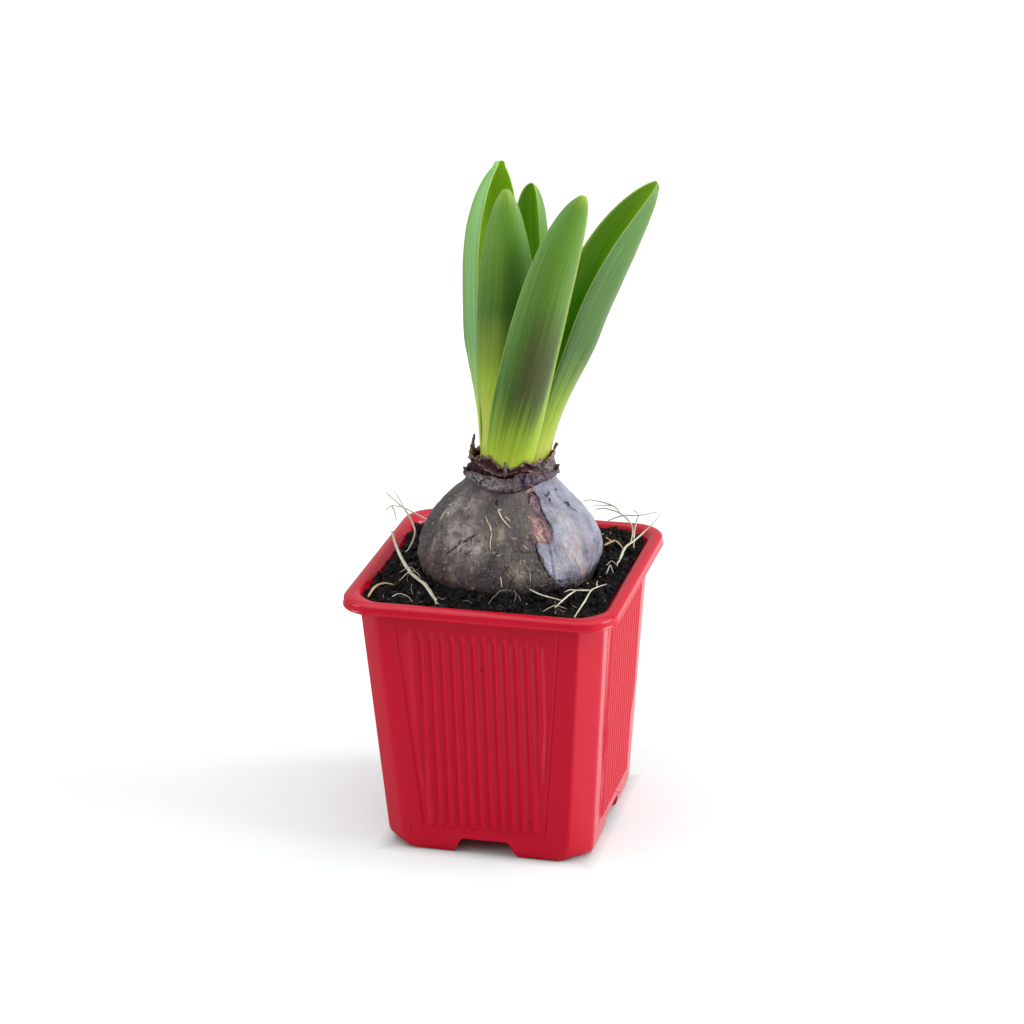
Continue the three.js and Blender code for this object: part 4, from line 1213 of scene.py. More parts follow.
def soilHeight(x, y):
    fromBulb = bulbDistance(x, y)
    facing = clamp(-y / soilPlan["moundRadius"])
    mound = lerp(soilPlan["moundBack"], soilPlan["moundFront"], facing)
    heap = mound * bump(fromBulb, soilPlan["moundRadius"], soilPlan["moundWidth"])
    rolls = 0.5 * math.sin(0.31 * x + 0.7) * math.cos(0.27 * y) + 0.4 * math.sin(0.52 * y + 0.21 * x)
    lump = soilPlan["cornerLump"]
    cornerLump = lump["rise"] * math.exp(
        -((x - lump["x"]) / lump["wideX"]) ** 2 - ((y - lump["y"]) / lump["wideY"]) ** 2)
    fromWall = soilPlan["wall"] - max(abs(x), abs(y))
    nearWall = 1 - smooth(fromWall, 0, soilPlan["edgeWidth"])
    edge = soilPlan["edgeRise"] * nearWall * (0.8 + 0.6 * rough((x, y, 0), 0.2, 2))
    uneven = 0.6 + 0.6 * abs(rough((x, y, 2.0), 0.15, 2))
    clods = soilPlan["clods"] * (clodAt(x, y, soilPlan["clodScale"]) - 0.45) * uneven
    grit = soilPlan["grit"] * rough((x, y, 8.0), 0.9, 3)
    crumbs = soilPlan["crumbs"] * (clodAt(x, y, soilPlan["crumbScale"]) - 0.4) + grit
    return soilPlan["level"] + heap + rolls + cornerLump + edge + clods + crumbs


def bulbUnderside(radius):  # height of the bulb's lower surface, or None outside it
    lower = [pair for pair in bulbPlan["outline"] if pair[1] <= soilPlan["bulbWidestAt"]]
    room = soilPlan["bulbRoom"]
    if radius >= lower[-1][0] + room:
        return None
    return alongStops(lower, radius - room, shareAt)


def makeSoil():
    cells = soilPlan["cells"]
    reach = soilPlan["reach"]
    points = []
    for j in range(cells + 1):
        for i in range(cells + 1):
            x = lerp(-reach, reach, i / cells)
            y = lerp(-reach, reach, j / cells)
            z = soilHeight(x, y)
            under = bulbUnderside(bulbDistance(x, y))
            if under is not None:
                z = min(z, under - soilPlan["gap"])
            points.append((x, y, z))
    across = cells + 1
    faces = [
        (j * across + i, j * across + i + 1, (j + 1) * across + i + 1, (j + 1) * across + i)
        for j in range(cells) for i in range(cells)
    ]
    rim = list(range(across))
    rim += [j * across + cells for j in range(1, across)]
    rim += [cells * across + i for i in range(cells - 1, -1, -1)]
    rim += [j * across for j in range(cells - 1, 0, -1)]
    first = len(points)
    points += [(points[k][0], points[k][1], soilPlan["bottom"]) for k in rim]
    count = len(rim)
    for k in range(count):
        following = (k + 1) % count
        faces.append((rim[k], first + k, first + following, rim[following]))
    points.append((0, 0, soilPlan["bottom"]))
    for k in range(count):
        faces.append((first + (k + 1) % count, first + k, len(points) - 1))
    soil = makeMesh("soilBed", points, faces)
    fixNormals(soil)
    cutBy(soil, potInside(soilPlan["gap"], potPlan["height"] + 10), "INTERSECT")
    return soil


def soilFinish(name, dark, light, pale):
    material, tree, shader = newMaterial(name, Roughness=0.3, Specular_IOR_Level=0.12)
    place = objectPlace(tree)
    cloudy = mottled(tree, place, 420.0, 3200.0, 0.9, dark, light)
    # pale flecks; on the dark peat they are real specks and also painted glints of its wet shine
    bits = fade(tree, noiseAt(tree, place, 1300.0, 3.0, 0.6), 0.6, 0.72)
    grain = noiseAt(tree, place, 1900.0, 5.0, 0.7)
    plug(tree, shader, {
        "Base Color": layOn(tree, cloudy["Color"], pale, bits, 0.5), "Normal": bumpFrom(tree, grain, 0.9, 0.0005),
    })
    return material


def finishTree(tree, last, entry, leave):
    sockets = {"Geometry": last.outputs[0], "Material": entry["Finish"]}
    plug(tree, leave, {0: putNode(tree, "GeometryNodeSetMaterial", sockets).outputs[0]})


def scatterTree():  # small lumps spread over a surface, from its upward faces outside the bulb
    tree, entry, leave = makeTree(
        "scatterLumps", "GeometryNodeTree",
        [
            ("Surface", "Geometry", None), ("Density", "Float", 1e5), ("Smallest", "Float", 0.0004),
            ("Largest", "Float", 0.0012), ("Length", "Float", 1.0), ("Seed", "Int", 1),
            ("Bulb Radius", "Float", 0.0295), ("Lowest", "Float", 0.084), ("Wall Near", "Float", 0.0365),
            ("Wall Far", "Float", 0.0392), ("Wall Size", "Float", 0.15), ("Finish", "Material", None),
        ],
        [("Lumps", "Geometry")],
    )
    position = tree.nodes.new("GeometryNodeInputPosition").outputs[0]
    normal = tree.nodes.new("GeometryNodeInputNormal").outputs[0]
    parts = partsOf(tree, position)
    fromAxis = calc(tree, "SUBTRACT", parts[0], bulbPlan["axis"][0] * millimetre)
    squares = calc(tree, "ADD", product(tree, fromAxis, fromAxis), product(tree, parts[1], parts[1]))
    outside = calc(tree, "GREATER_THAN", calc(tree, "SQRT", squares), entry["Bulb Radius"])
    facing = calc(tree, "GREATER_THAN", partsOf(tree, normal)[2], 0.25)
    high = calc(tree, "GREATER_THAN", parts[2], entry["Lowest"])
    spread = putNode(tree, "GeometryNodeDistributePointsOnFaces", {
        "Mesh": entry["Surface"], "Selection": product(tree, outside, facing, high), "Density": entry["Density"],
        "Seed": entry["Seed"],
    })

    # one lump: a cube's points pushed onto a dented ball
    cube = putNode(tree, "GeometryNodeMeshCube", {
        "Size": (1.0, 1.0, 1.0), "Vertices X": 3, "Vertices Y": 3, "Vertices Z": 3,
    })
    cubePlace = tree.nodes.new("GeometryNodeInputPosition").outputs[0]
    halfBall = vectorCalc(tree, "SCALE", {0: vectorCalc(tree, "NORMALIZE", {0: cubePlace}), "Scale": 0.5})
    dents = putNode(tree, "ShaderNodeTexNoise", {"Vector": halfBall, "Scale": 2.3, "Detail": 2.0}).outputs[0]
    uneven = calc(tree, "MULTIPLY_ADD", dents, 2.4, -0.2)
    lumpPlace = vectorCalc(tree, "SCALE", {0: halfBall, "Scale": uneven})
    lump = putNode(tree, "GeometryNodeSetPosition", {"Geometry": cube.outputs["Mesh"], "Position": lumpPlace})

    # its turn and size, smaller beside the wall
    turn = drawRandom(tree, (0.0, 0.0, 0.0), (6.28, 6.28, 6.28), entry["Seed"])
    flat = drawRandom(tree, (0.55, 0.55, 0.45), (1.0, 1.0, 0.9), entry["Seed"])
    steep = calc(tree, "POWER", drawRandom(tree, 0.0, 1.0, calc(tree, "ADD", entry["Seed"], 5)), 2.4)
    sizeSpan = calc(tree, "SUBTRACT", entry["Largest"], entry["Smallest"])
    size = calc(tree, "MULTIPLY_ADD", steep, sizeSpan, entry["Smallest"])
    widest = calc(tree, "MAXIMUM", calc(tree, "ABSOLUTE", parts[0]), calc(tree, "ABSOLUTE", parts[1]))
    wallRoom = mapRange(tree, widest, entry["Wall Near"], entry["Wall Far"], 1.0, entry["Wall Size"])
    shaped = vectorCalc(tree, "MULTIPLY", {0: flat, 1: joinParts(tree, entry["Length"], 1.0, 1.0)})
    scale = vectorCalc(tree, "SCALE", {0: shaped, "Scale": product(tree, size, wallRoom)})
    placed = putNode(tree, "GeometryNodeInstanceOnPoints", {
        "Points": spread.outputs["Points"], "Selection": product(tree, outside, high),
        "Instance": lump.outputs[0], "Rotation": turn, "Scale": scale,
    })
    finishTree(tree, putNode(tree, "GeometryNodeRealizeInstances", {"Geometry": placed.outputs[0]}), entry, leave)
    return tree


def hairTree():  # thin bent hairs that lie on a surface, where its stored number hairRoom is high
    tree, entry, leave = makeTree(
        "layHairs", "GeometryNodeTree",
        [
            ("Surface", "Geometry", None), ("Density", "Float", 2e4), ("Shortest", "Float", 0.003),
            ("Longest", "Float", 0.01), ("Radius", "Float", 0.00007), ("Seed", "Int", 1),
            ("Bend", "Float", 0.004), ("Finish", "Material", None),
        ],
        [("Hairs", "Geometry")],
    )
    spread = putNode(tree, "GeometryNodeDistributePointsOnFaces", {
        "Mesh": entry["Surface"], "Selection": calc(tree, "GREATER_THAN", storedNumber(tree, "hairRoom"), 0.5),
        "Density": entry["Density"], "Seed": entry["Seed"],
    })
    arc = putNode(tree, "GeometryNodeCurveQuadraticBezier", {
        "Resolution": 9, "Start": (-0.5, 0.0, 0.0), "Middle": (0.05, 0.28, 0.12), "End": (0.5, 0.05, 0.0),
    })
    spin = drawRandom(tree, (-0.12, -0.12, 0.0), (0.12, 0.12, 6.28), entry["Seed"])
    turn = putNode(tree, "FunctionNodeRotateRotation", {
        "Rotation": spread.outputs["Rotation"], "Rotate By": spin,
    }, rotation_space="LOCAL").outputs[0]
    steep = calc(tree, "POWER", drawRandom(tree, 0.0, 1.0, entry["Seed"]), 1.8)
    lengthSpan = calc(tree, "SUBTRACT", entry["Longest"], entry["Shortest"])
    size = calc(tree, "MULTIPLY_ADD", steep, lengthSpan, entry["Shortest"])
    placed = putNode(tree, "GeometryNodeInstanceOnPoints", {
        "Points": spread.outputs["Points"], "Instance": arc.outputs[0], "Rotation": turn,
        "Scale": joinParts(tree, size, size, size),
    })
    real = putNode(tree, "GeometryNodeRealizeInstances", {"Geometry": placed.outputs[0]})
    wander = putNode(tree, "ShaderNodeTexNoise", {"Scale": 160.0, "Detail": 1.0}).outputs["Color"]
    centred = vectorCalc(tree, "SUBTRACT", {0: wander, 1: (0.5, 0.5, 0.47)})
    shift = vectorCalc(tree, "SCALE", {0: centred, "Scale": entry["Bend"]})
    bent = putNode(tree, "GeometryNodeSetPosition", {"Geometry": real.outputs[0], "Offset": shift})
    section = putNode(tree, "GeometryNodeCurvePrimitiveCircle", {"Resolution": 4, "Radius": entry["Radius"]})
    tube = putNode(tree, "GeometryNodeCurveToMesh", {
        "Curve": bent.outputs[0], "Profile Curve": section.outputs[0], "Fill Caps": True,
    })
    finishTree(tree, tube, entry, leave)
    return tree


def spreadOver(surface, name, tree, values, material):
    piece = placeObject(name, surface.data.copy())  # the copy becomes the lumps or hairs alone
    runNodes(piece, tree, {**values, "Finish": material})
    if tree.name == "scatterLumps":
        piece.data.shade_flat()
    finishPiece(piece, material)


soil = makeSoil()
finishPiece(soil, soilFinish("darkPeat", colour(2, 2, 2), colour(10, 9, 9), colour(96, 92, 88)), ["soil"])

lumpTree = scatterTree()
crumbFinish = soilFinish("peatCrumbs", colour(2, 2, 2), colour(13, 11, 11), colour(128, 122, 116))
barkFinish = soilFinish("barkBits", colour(70, 48, 32), colour(40, 28, 20), colour(150, 120, 84))
perliteFinish = soilFinish("whiteBits", colour(214, 206, 190), colour(170, 158, 138), colour(235, 232, 224))
strawFinish = soilFinish("strawBits", colour(178, 142, 88), colour(126, 94, 56), colour(214, 184, 130))
scatterPlans = [
    ("soilClods", crumbFinish, {"Density": 1.5e5, "Smallest": 0.0014, "Largest": 0.0054, "Seed": 3}),
    ("soilCrumbs", crumbFinish, {"Density": 6.5e5, "Smallest": 0.0004, "Largest": 0.0016, "Seed": 8}),
    ("barkCrumbs", barkFinish, {"Density": 2.2e4, "Smallest": 0.0006, "Largest": 0.002, "Length": 2.0, "Seed": 11}),
    ("whiteCrumbs", perliteFinish, {"Density": 1.1e4, "Smallest": 0.0003, "Largest": 0.0012, "Seed": 23}),
    ("strawCrumbs", strawFinish, {
        "Density": 1.1e4, "Smallest": 0.0002, "Largest": 0.0006, "Length": 5.0, "Seed": 31}),
]
for crumbName, crumbMaterial, crumbValues in scatterPlans:
    spreadOver(soil, crumbName, lumpTree, crumbValues, crumbMaterial)


# the roots and twigs

def strand(radius, flat, *points, **more):
    return {"radius": radius, "flat": flat, "points": points, **more}


rootPlans = {
    "root_left_long": [
        strand(0.85, 0.45, (-14, -34, 87.6), (-20, -26, 88.6), (-27, -16.5, 89.2), (-34, -5, 90.2),
               (-38, 1.5, 92.6), (-40.4, 6, 95.2)),
    ],
    "roots_left_curl": [
        strand(0.45, 0.8, (-37, 6, 86), (-35.6, 8.3, 88.5), (-34.2, 9.5, 91.5), (-34, 10.5, 95),
               (-37.6, 13.1, 100), (-41.1, 13.4, 103), (-44.4, 14.5, 105.2)),
        strand(0.28, 0.9, (-37.6, 13.1, 100), (-40.2, 15.6, 102.6), (-42.6, 17, 105.4)),
    ],
    "roots_left_hook": [
        strand(0.36, 0.8, (-28.5, 27, 86), (-32, 26.5, 90.5), (-38.6, 25, 95), (-42, 22.5, 97.6),
               (-43.8, 17, 99.8), (-44.4, 13, 99.8)),
        strand(0.28, 0.9, (-43.8, 17, 99.8), (-43.2, 18, 98), (-42.2, 17.3, 94.6)),
    ],
    "roots_right": [
        strand(0.55, 0.7, (34.6, 8, 87), (35.4, 11.2, 89.6), (35.4, 18.9, 90.6), (37.5, 24.8, 91.2),
               (40.4, 29.5, 93.4), (42.9, 31.7, 95.8), (44.3, 33.4, 98.2), taper=0.8),
        strand(0.34, 0.9, (36.4, 22, 90.8), (36.4, 26, 93.4), (35.2, 28, 95.8), (31.2, 30.8, 97.8),
               (25, 35, 97.6), (22, 36, 96.6)),
        strand(0.32, 0.9, (37.2, 24, 86.5), (36.9, 25.4, 91.6), (37.1, 27.6, 96), (37.8, 28.4, 98.8),
               (36, 28.6, 100.2)),
        strand(0.3, 0.9, (31.2, 30.8, 97.8), (28, 33.4, 99.4), (20.4, 36.6, 99.6), (17, 37, 98.8)),
        strand(0.3, 0.9, (27, 31.4, 94.8), (32, 31.2, 97), (37.6, 28.6, 98.4), (44.2, 29, 100)),
        strand(0.22, 0.9, (28, 33.4, 99.4), (23, 35, 98.6), (20.5, 36, 98)),
    ],
    "roots_front_right": [
        strand(0.34, 0.9, (31.4, -37.4, 88.4), (32, -32.2, 89.4), (32.5, -27.3, 90), (32.9, -20.1, 90.8),
               (34.3, -17.6, 91), (36.6, -14.4, 91)),
        strand(0.32, 0.9, (32.9, -20.1, 90.8), (28.4, -22, 91.2), (26.5, -22.6, 91.4), (24.9, -23.9, 91)),
        strand(0.34, 0.9, (28.4, -22, 91.2), (26.8, -25.7, 90.8), (25.2, -31.2, 90.2), (24.3, -34, 89.6)),
        strand(0.3, 0.9, (14.6, -27.6, 92.6), (18.6, -28, 91.2), (25.4, -28.4, 90)),
        strand(0.24, 0.9, (34.3, -17.6, 91), (33.6, -15.4, 91.3), (33.4, -13.3, 91.4)),
    ],
    "twig_right": [
        strand(0.42, 0.9, (28.1, 19.2, 90.6), (29.8, 20.4, 91.3), (31.5, 21.4, 91.9), bumps=0.5),
        strand(0.36, 0.9, (31.5, 21.4, 91.9), (33.2, 20.8, 90.8), (34.7, 20, 89.2), bumps=0.5),
        strand(0.34, 0.9, (27.8, 23.5, 91.8), (29.4, 22, 91.6), (31, 20.8, 91.4), bumps=0.5),
    ],
    "twig_front_left": [
        strand(0.5, 0.9, (-37.2, -33, 87.8), (-36.6, -27.6, 89), (-34.4, -24.6, 89.4), (-31.4, -23.4, 88.6)),
    ],
}


def splineThrough(points, spacing):  # evenly fine points on a smooth line
    path = [Vector(p) for p in points]
    fine = []
    for start in range(len(path) - 1):
        steps = max(2, round((path[start + 1] - path[start]).length / spacing))
        fine += [throughPoints(path, start, k / steps) for k in range(steps)]
    fine.append(path[-1])
    return fine


def strandMesh(points, faces, numbers, line, radiusAt, flat, sides, seed, bumps):  # adds one closed strand
    start = len(points)
    count = len(line)
    side = Vector((0, 0, 1))
    for k, centre in enumerate(line):
        along = (line[min(k + 1, count - 1)] - line[max(k - 1, 0)]).normalized()
        side = (side - along * side.dot(along)).normalized()
        across = along.cross(side)
        share = k / (count - 1)
        for i in range(sides):
            turn = 2 * math.pi * i / sides
            away = across * math.cos(turn) + side * math.sin(turn) * flat
            dent = noise.noise(centre * 0.8 + Vector((seed, 0, 0))) + noise.noise(centre * 1.6 + away * 1.2)
            points.append(tuple(centre + away * radiusAt(share) * (1 + bumps * dent)))
            numbers.append(share)
    faces += ringFaces(count, sides, start)
    faces.append(tuple(start + i for i in reversed(range(sides))))
    faces.append(tuple(start + (count - 1) * sides + i for i in range(sides)))


strandDetail = {"taper": 0.55, "thinStart": 0.35, "bumps": 0.18, "overSoil": 0.9, "insideHalf": 40.5, "hidden": 2}


def liftFromSoil(line, radius):  # only the first points may stay under the soil
    hidden = strandDetail["hidden"]
    floors = [soilHeight(p[0], p[1]) + radius * 0.7 + strandDetail["overSoil"] for p in line]
    lifted = []
    for k, p in enumerate(line):
        near = floors[max(k - 5, 0):k + 6]
        inside = max(abs(p[0]), abs(p[1])) < strandDetail["insideHalf"]
        rise = max(0.0, sum(near) / len(near) - p[2]) if inside else 0.0
        lifted.append(p + Vector((0, 0, rise * smooth(k, hidden - 2, hidden + 2))))
    return lifted


def makeStrands(name, strands, sides=8, spacing=0.6):
    points = []
    faces = []
    numbers = []
    for index, plan in enumerate(strands):
        plan = {**strandDetail, **plan}
        line = splineThrough(plan["points"], spacing)
        if plan.get("lies", True):
            line = liftFromSoil(line, plan["radius"])

        def radiusAt(t):
            thinned = 1 - plan["thinStart"] * (1 - smooth(t, 0, 0.35))
            return plan["radius"] * (1 - plan["taper"] * t ** 1.6) * thinned

        seed = 3.7 * index + len(plan["points"])
        strandMesh(points, faces, numbers, line, radiusAt, plan["flat"], sides, seed, plan["bumps"])
    piece = makeMesh(name, points, faces)
    storeNumbers(piece, "strandAlong", numbers)
    fixNormals(piece)
    return piece


def rootFinish(name, pale, warm, dark):
    material, tree, shader = newMaterial(
        name, Roughness=0.5, Specular_IOR_Level=0.35,
        Subsurface_Weight=0.1, Subsurface_Radius=(0.6, 0.5, 0.3), Subsurface_Scale=0.0006,
    )
    place = objectPlace(tree)
    cloudy = mottled(tree, place, 160.0, 2500.0, 0.7, pale, warm)
    tips = ramp(tree, readNumber(tree, "strandAlong"), [(0.0, 0.35), (0.25, 0.0), (0.8, 0.0), (1.0, 0.4)])
    spots = fade(tree, noiseAt(tree, place, 600.0, 3.0, 0.6), 0.62, 0.72, 0.0, 0.6)
    grain = noiseAt(tree, stretched(tree, place, (1600.0, 1600.0, 900.0)), 1.0, 3.0, 0.6)
    plug(tree, shader, {
        "Base Color": layOn(tree, cloudy["Color"], dark, calc(tree, "MAXIMUM", tips, spots)),
        "Normal": bumpFrom(tree, grain, 0.35, 0.0002),
    })
    return material


rootMaterial = rootFinish("paleRoot", colour(214, 209, 194), colour(176, 168, 148), colour(118, 104, 86))
twigMaterial = rootFinish("strawTwig", colour(214, 190, 148), colour(190, 156, 108), colour(120, 88, 56))
for rootName, rootStrands in rootPlans.items():
    isTwig = rootName.startswith("twig")
    rootPiece = makeStrands(rootName.replace("_", "Strand_", 1), rootStrands)
    finishPiece(rootPiece, twigMaterial if isTwig else rootMaterial, [rootName])

hairPlan = {
    "bulbRoom": 31.5, "soilFrom": 84, "soilHalf": 35, "skinHeights": (92, 117), "bareTurns": (-58, 25),
}


def soilHairRoom(place):
    x, y, z = place / millimetre
    beside = bulbDistance(x, y) > hairPlan["bulbRoom"]
    return 1.0 if beside and z > hairPlan["soilFrom"] and max(abs(x), abs(y)) < hairPlan["soilHalf"] else 0.0


def skinHairRoom(place):
    x, y, z = place / millimetre
    turn = math.degrees(math.atan2(y, x - bulbPlan["axis"][0]))
    low, high = hairPlan["skinHeights"]
    left, right = hairPlan["bareTurns"]
    onSkin = low < z < high and not left < turn < right
    return 1.0 if onSkin and noise.noise(Vector((x, y, z)) * 0.25) > 0.025 * (z - 100) else 0.0


storeNumbers(soil, "hairRoom", [soilHairRoom(v.co) for v in soil.data.vertices])
storeNumbers(bulb, "hairRoom", [skinHairRoom(v.co) for v in bulb.data.vertices])
hairNodes = hairTree()
spreadOver(soil, "rootHairs", hairNodes, {
    "Density": 9e3, "Shortest": 0.003, "Longest": 0.013, "Seed": 7}, rootMaterial)
looseHairs = [
    strand(0.2, 0.9, (34.5, -5.3, 90.7), (34.7, -3, 91.8), (34.8, -1.1, 92.2), (35.6, -2.6, 91.9),
           (36.6, -4.6, 90.9)),
    strand(0.16, 0.9, (33, 1, 91), (34.4, 2.4, 92.2), (36, 2, 91.4)),
    strand(0.18, 0.9, (-30, -22, 89.6), (-27.6, -18, 91.4), (-25.6, -16.6, 90.6), (-24, -18, 89.6)),
    strand(0.15, 0.9, (-31.6, -16, 90), (-28.4, -14.6, 91.6), (-26, -16, 90.4)),
    strand(0.16, 0.9, (-30, -36, 88.4), (-27, -33.6, 90), (-23.6, -34, 89.4), (-21.6, -36, 88.6)),
    strand(0.14, 0.9, (21, -36, 89), (24, -33, 90), (28, -33.6, 89.6)),
]
finishPiece(makeStrands("looseHairs", looseHairs, sides=6, spacing=0.4), rootMaterial)
skinFibreFinish = rootFinish("dryFibre", colour(220, 204, 176), colour(160, 134, 106), colour(80, 60, 48))
spreadOver(bulb, "skinFibres", hairNodes, {
    "Density": 2.2e4, "Shortest": 0.0006, "Longest": 0.003, "Radius": 0.00009, "Bend": 0.001, "Seed": 17,
}, skinFibreFinish)


# the torn dry skin round the neck: heights by turn in degrees; each roll has a width, a rise and a chain

collarPlans = {
    "lower": {
        "name": "tunic_collar_lower", "seed": 11, "shift": (0.43, 0.12), "thick": 0.6, "lip": 0.3,
        "tear": 0.35, "fold": 0.46, "pale": (-150, -76), "violet": (-72, 40),
        "profile": [(0, 14.5), (0.12, 14.95), (0.35, 15.15), (0.7, 14.85), (0.9, 14.6), (1, 14.7)],
        "foot": [(-180, 120.6), (-139, 121), (-124, 120.3), (-105, 119.7), (-80, 119.4), (-60, 120.1), (-45, 121),
                 (-35, 121.7), (-15, 121.8), (20, 121), (180, 120.6)],
        "edge": [(-180, 122.6), (-165, 123), (-150, 123.4), (-131, 124.9), (-105, 124.7), (-84, 124.3),
                 (-73, 124.5), (-71, 125.6), (-58, 125.9), (-45, 125.6), (-28, 124.3), (-9, 123.6), (6, 122.8),
                 (12, 123.2), (22, 122.6), (60, 122.6), (100, 122.9), (140, 122.5), (180, 122.6)],
        "least": [(-180, 14.2), (180, 14.2)],
        "rolls": [
            (0.3, 0.4, [(-142, 121.7), (-124, 120.9), (-105, 120.3), (-92, 120.1), (-80, 120.1), (-69, 120.5),
                        (-60, 120.7)]),
            (0.4, 0.45, [(-71, 125.4), (-72.5, 123.4), (-71.5, 121.6), (-72.5, 119.9)]),
            (0.4, 0.45, [(-46, 125.8), (-48.5, 124), (-46.5, 122.4), (-50, 120.8)]),
            (0.6, -0.25, [(-58, 125.4), (-62, 123.4), (-59, 121.4)]),
            (0.4, 0.35, [(-112, 124), (-98, 122.2), (-88, 123.4)]),
            (0.5, 0.35, [(-30, 124), (-24, 122), (-10, 121.8)]),
            (0.4, -0.25, [(-138, 124.6), (-130, 122.6), (-116, 121.8)]),
        ],
    },
    "upper": {
        "name": "tunic_collar_upper", "seed": 29, "shift": (0.8, -0.2), "thick": 0.5, "lip": 0.55,
        "tear": 0.35, "fold": 0.5, "pale": (-38, 40), "violet": (-70, -46),
        "profile": [(0, 13.1), (0.4, 13.2), (0.7, 13), (0.9, 12.9), (1, 13.1)],
        "foot": [(-180, 119.6), (180, 119.6)],
        "edge": [(-180, 128), (-165, 128.8), (-150, 128.4), (-130, 129.2), (-121, 130), (-114, 130.9),
                 (-107, 131.1), (-101, 129.8), (-93, 128.4), (-86, 127.3), (-82, 128.4), (-78, 127.4), (-70, 127.7),
                 (-61, 128.6), (-56, 129.8), (-51, 129), (-46, 128.2), (-37, 129), (-33, 129.6), (-27, 127.3),
                 (-16, 128.2), (0, 128.8), (10, 129.6), (16, 127.8), (30, 127.4), (70, 127), (110, 127.8),
                 (140, 127.4), (180, 128)],
        "least": [(-180, 12.95), (92, 12.95), (103, 13.7), (138, 13.7), (150, 13.3), (164, 12.95)],
        "rolls": [
            (0.4, 0.85, [(-145, 127.3), (-134, 127.2), (-118, 126.7), (-104, 125.8), (-92, 125.3), (-80, 125.4),
                         (-70, 126.2)]),
            (0.5, -0.3, [(-150, 127.4), (-128, 128.1), (-116, 128.4), (-104, 127.4), (-92, 126.5), (-84, 126.2),
                         (-74, 126.4), (-66, 127), (-57, 128.1), (-49, 127.4), (-40, 126.8)]),
            (0.4, -0.3, [(-116, 125.4), (-100, 124.6), (-84, 124.2), (-72, 124.8)]),
            (0.5, 0.5, [(-37, 128.4), (-33, 129), (-30, 128), (-27, 126.4), (-20, 125.4), (-8, 124.8)]),
            (0.35, -0.25, [(-30, 129), (-24, 127.4), (-14, 127)]),
            (0.4, 0.5, [(-60, 126.4), (-52, 126.2), (-44, 125.6)]),
        ],
    },
}


collarDetail = {
    "sides": 540, "upSteps": 44, "crush": (1.6, 1.3, 0.7), "crushLess": 0.9, "crushDeepest": -0.25, "lipAt": 0.93,
    "lipWide": 0.07, "rollRadius": 14, "toneSoft": (5, 8),
}


def collarRoom(plan, degrees, around, high):  # height and the three kinds of crumpling at one place
    tear = noise.noise(around * 1.3) + 0.8 * noise.noise(around * 3.4) + 0.4 * noise.noise(around * 7)
    top = alongStops(plan["edge"], degrees) + plan["tear"] * tear
    z = lerp(alongStops(plan["foot"], degrees) + 0.3 * noise.noise(around * 1.1), top, high)
    spot = Vector((around[0] * 1.5, around[1] * 1.5, z * 0.4 + plan["seed"]))
    broad = noise.noise(spot * 0.55)
    folds = (1 - abs(noise.noise(spot + Vector((0, 0, 0.8 * broad))))) ** 4
    sharp = (1 - abs(noise.noise(spot * 2.3))) ** 5
    return z, spot, broad, folds, sharp


def makeCollar(plan):
    sides = collarDetail["sides"]
    upSteps = collarDetail["upSteps"]
    byBroad, byFolds, bySharp = collarDetail["crush"]
    softStart, softEnd = collarDetail["toneSoft"]
    axis = [bulbPlan["neckAxis"][k] + plan["shift"][k] for k in (0, 1)]
    rings = []
    numbers = {"collarHigh": [], "pale": [], "violet": [], "deep": [], "roll": [], "grooveShade": []}
    profile = [(k / upSteps, 1) for k in range(upSteps + 1)] + [(1 - k / upSteps, 0) for k in range(upSteps + 1)]
    for high, outer in profile:
        ring = []
        for side in range(sides):
            turn = 2 * math.pi * side / sides
            degrees = wrapTurn(math.degrees(turn))
            around = Vector((math.cos(turn) * 6, math.sin(turn) * 6, plan["seed"]))
            z, spot, broad, folds, sharp = collarRoom(plan, degrees, around, high)
            crush = byBroad * broad + byFolds * folds + bySharp * sharp - collarDetail["crushLess"]
            crumpled = plan["fold"] * max(collarDetail["crushDeepest"], crush) * smooth(high, 0, 0.2)
            lipShare = bump(high, collarDetail["lipAt"], collarDetail["lipWide"])
            lip = plan["lip"] * lipShare * (1 + 0.6 * noise.noise(around * 2))
            radius = alongStops(plan["profile"], high) + crumpled + lip
            roll = grooveShade = 0.0
            for wide, rise, chain in plan["rolls"]:
                if rise > 0 and not outer:
                    continue
                shifted = (degrees + 1.5 * folds, z + 0.5 * broad + 0.2 * sharp)
                away = chainDistance(chain, *shifted, collarDetail["rollRadius"])
                reach = bump(away, 0, wide * (1 + 0.5 * noise.noise(around * 2.5)))
                radius += rise * reach * (0.9 + 0.5 * noise.noise(spot * 1.4))
                roll = max(roll, reach if rise > 0 else 0.0)
                # the grooves' reach, where painted shade goes
                grooveShade = max(grooveShade, reach if rise < 0 else 0.0)
            radius = max(radius, alongStops(plan["least"], degrees))
            if not outer:
                radius -= plan["thick"] * (1 - smooth(high, 0.86, 1)) + lip * 0.6
            ring.append((axis[0] + radius * math.cos(turn), axis[1] + radius * math.sin(turn), z))
            numbers["collarHigh"].append(high)
            numbers["roll"].append(roll)
            numbers["grooveShade"].append(grooveShade)
            for tone in ("pale", "violet"):
                start, end = plan[tone]
                inside = smooth(degrees, start - softStart, start + softStart)
                inside *= 1 - smooth(degrees, end - softEnd, end + softEnd)
                numbers[tone].append(clamp(inside * (0.85 + 0.8 * broad)))
            # painted shade: full on the inner face, and some in the hollows between the folds
            numbers["deep"].append((0.0 if outer else 1.0) + 0.35 * clamp(1 - folds))
        rings.append(ring)
    points = [p for ring in rings for p in ring]
    collar = makeMesh(plan["name"].replace("tunic_", "torn_"), points, ringFaces(len(rings), sides, 0, closedRows=True))
    for name, values in numbers.items():
        storeNumbers(collar, name, values)
    fixNormals(collar)
    return collar


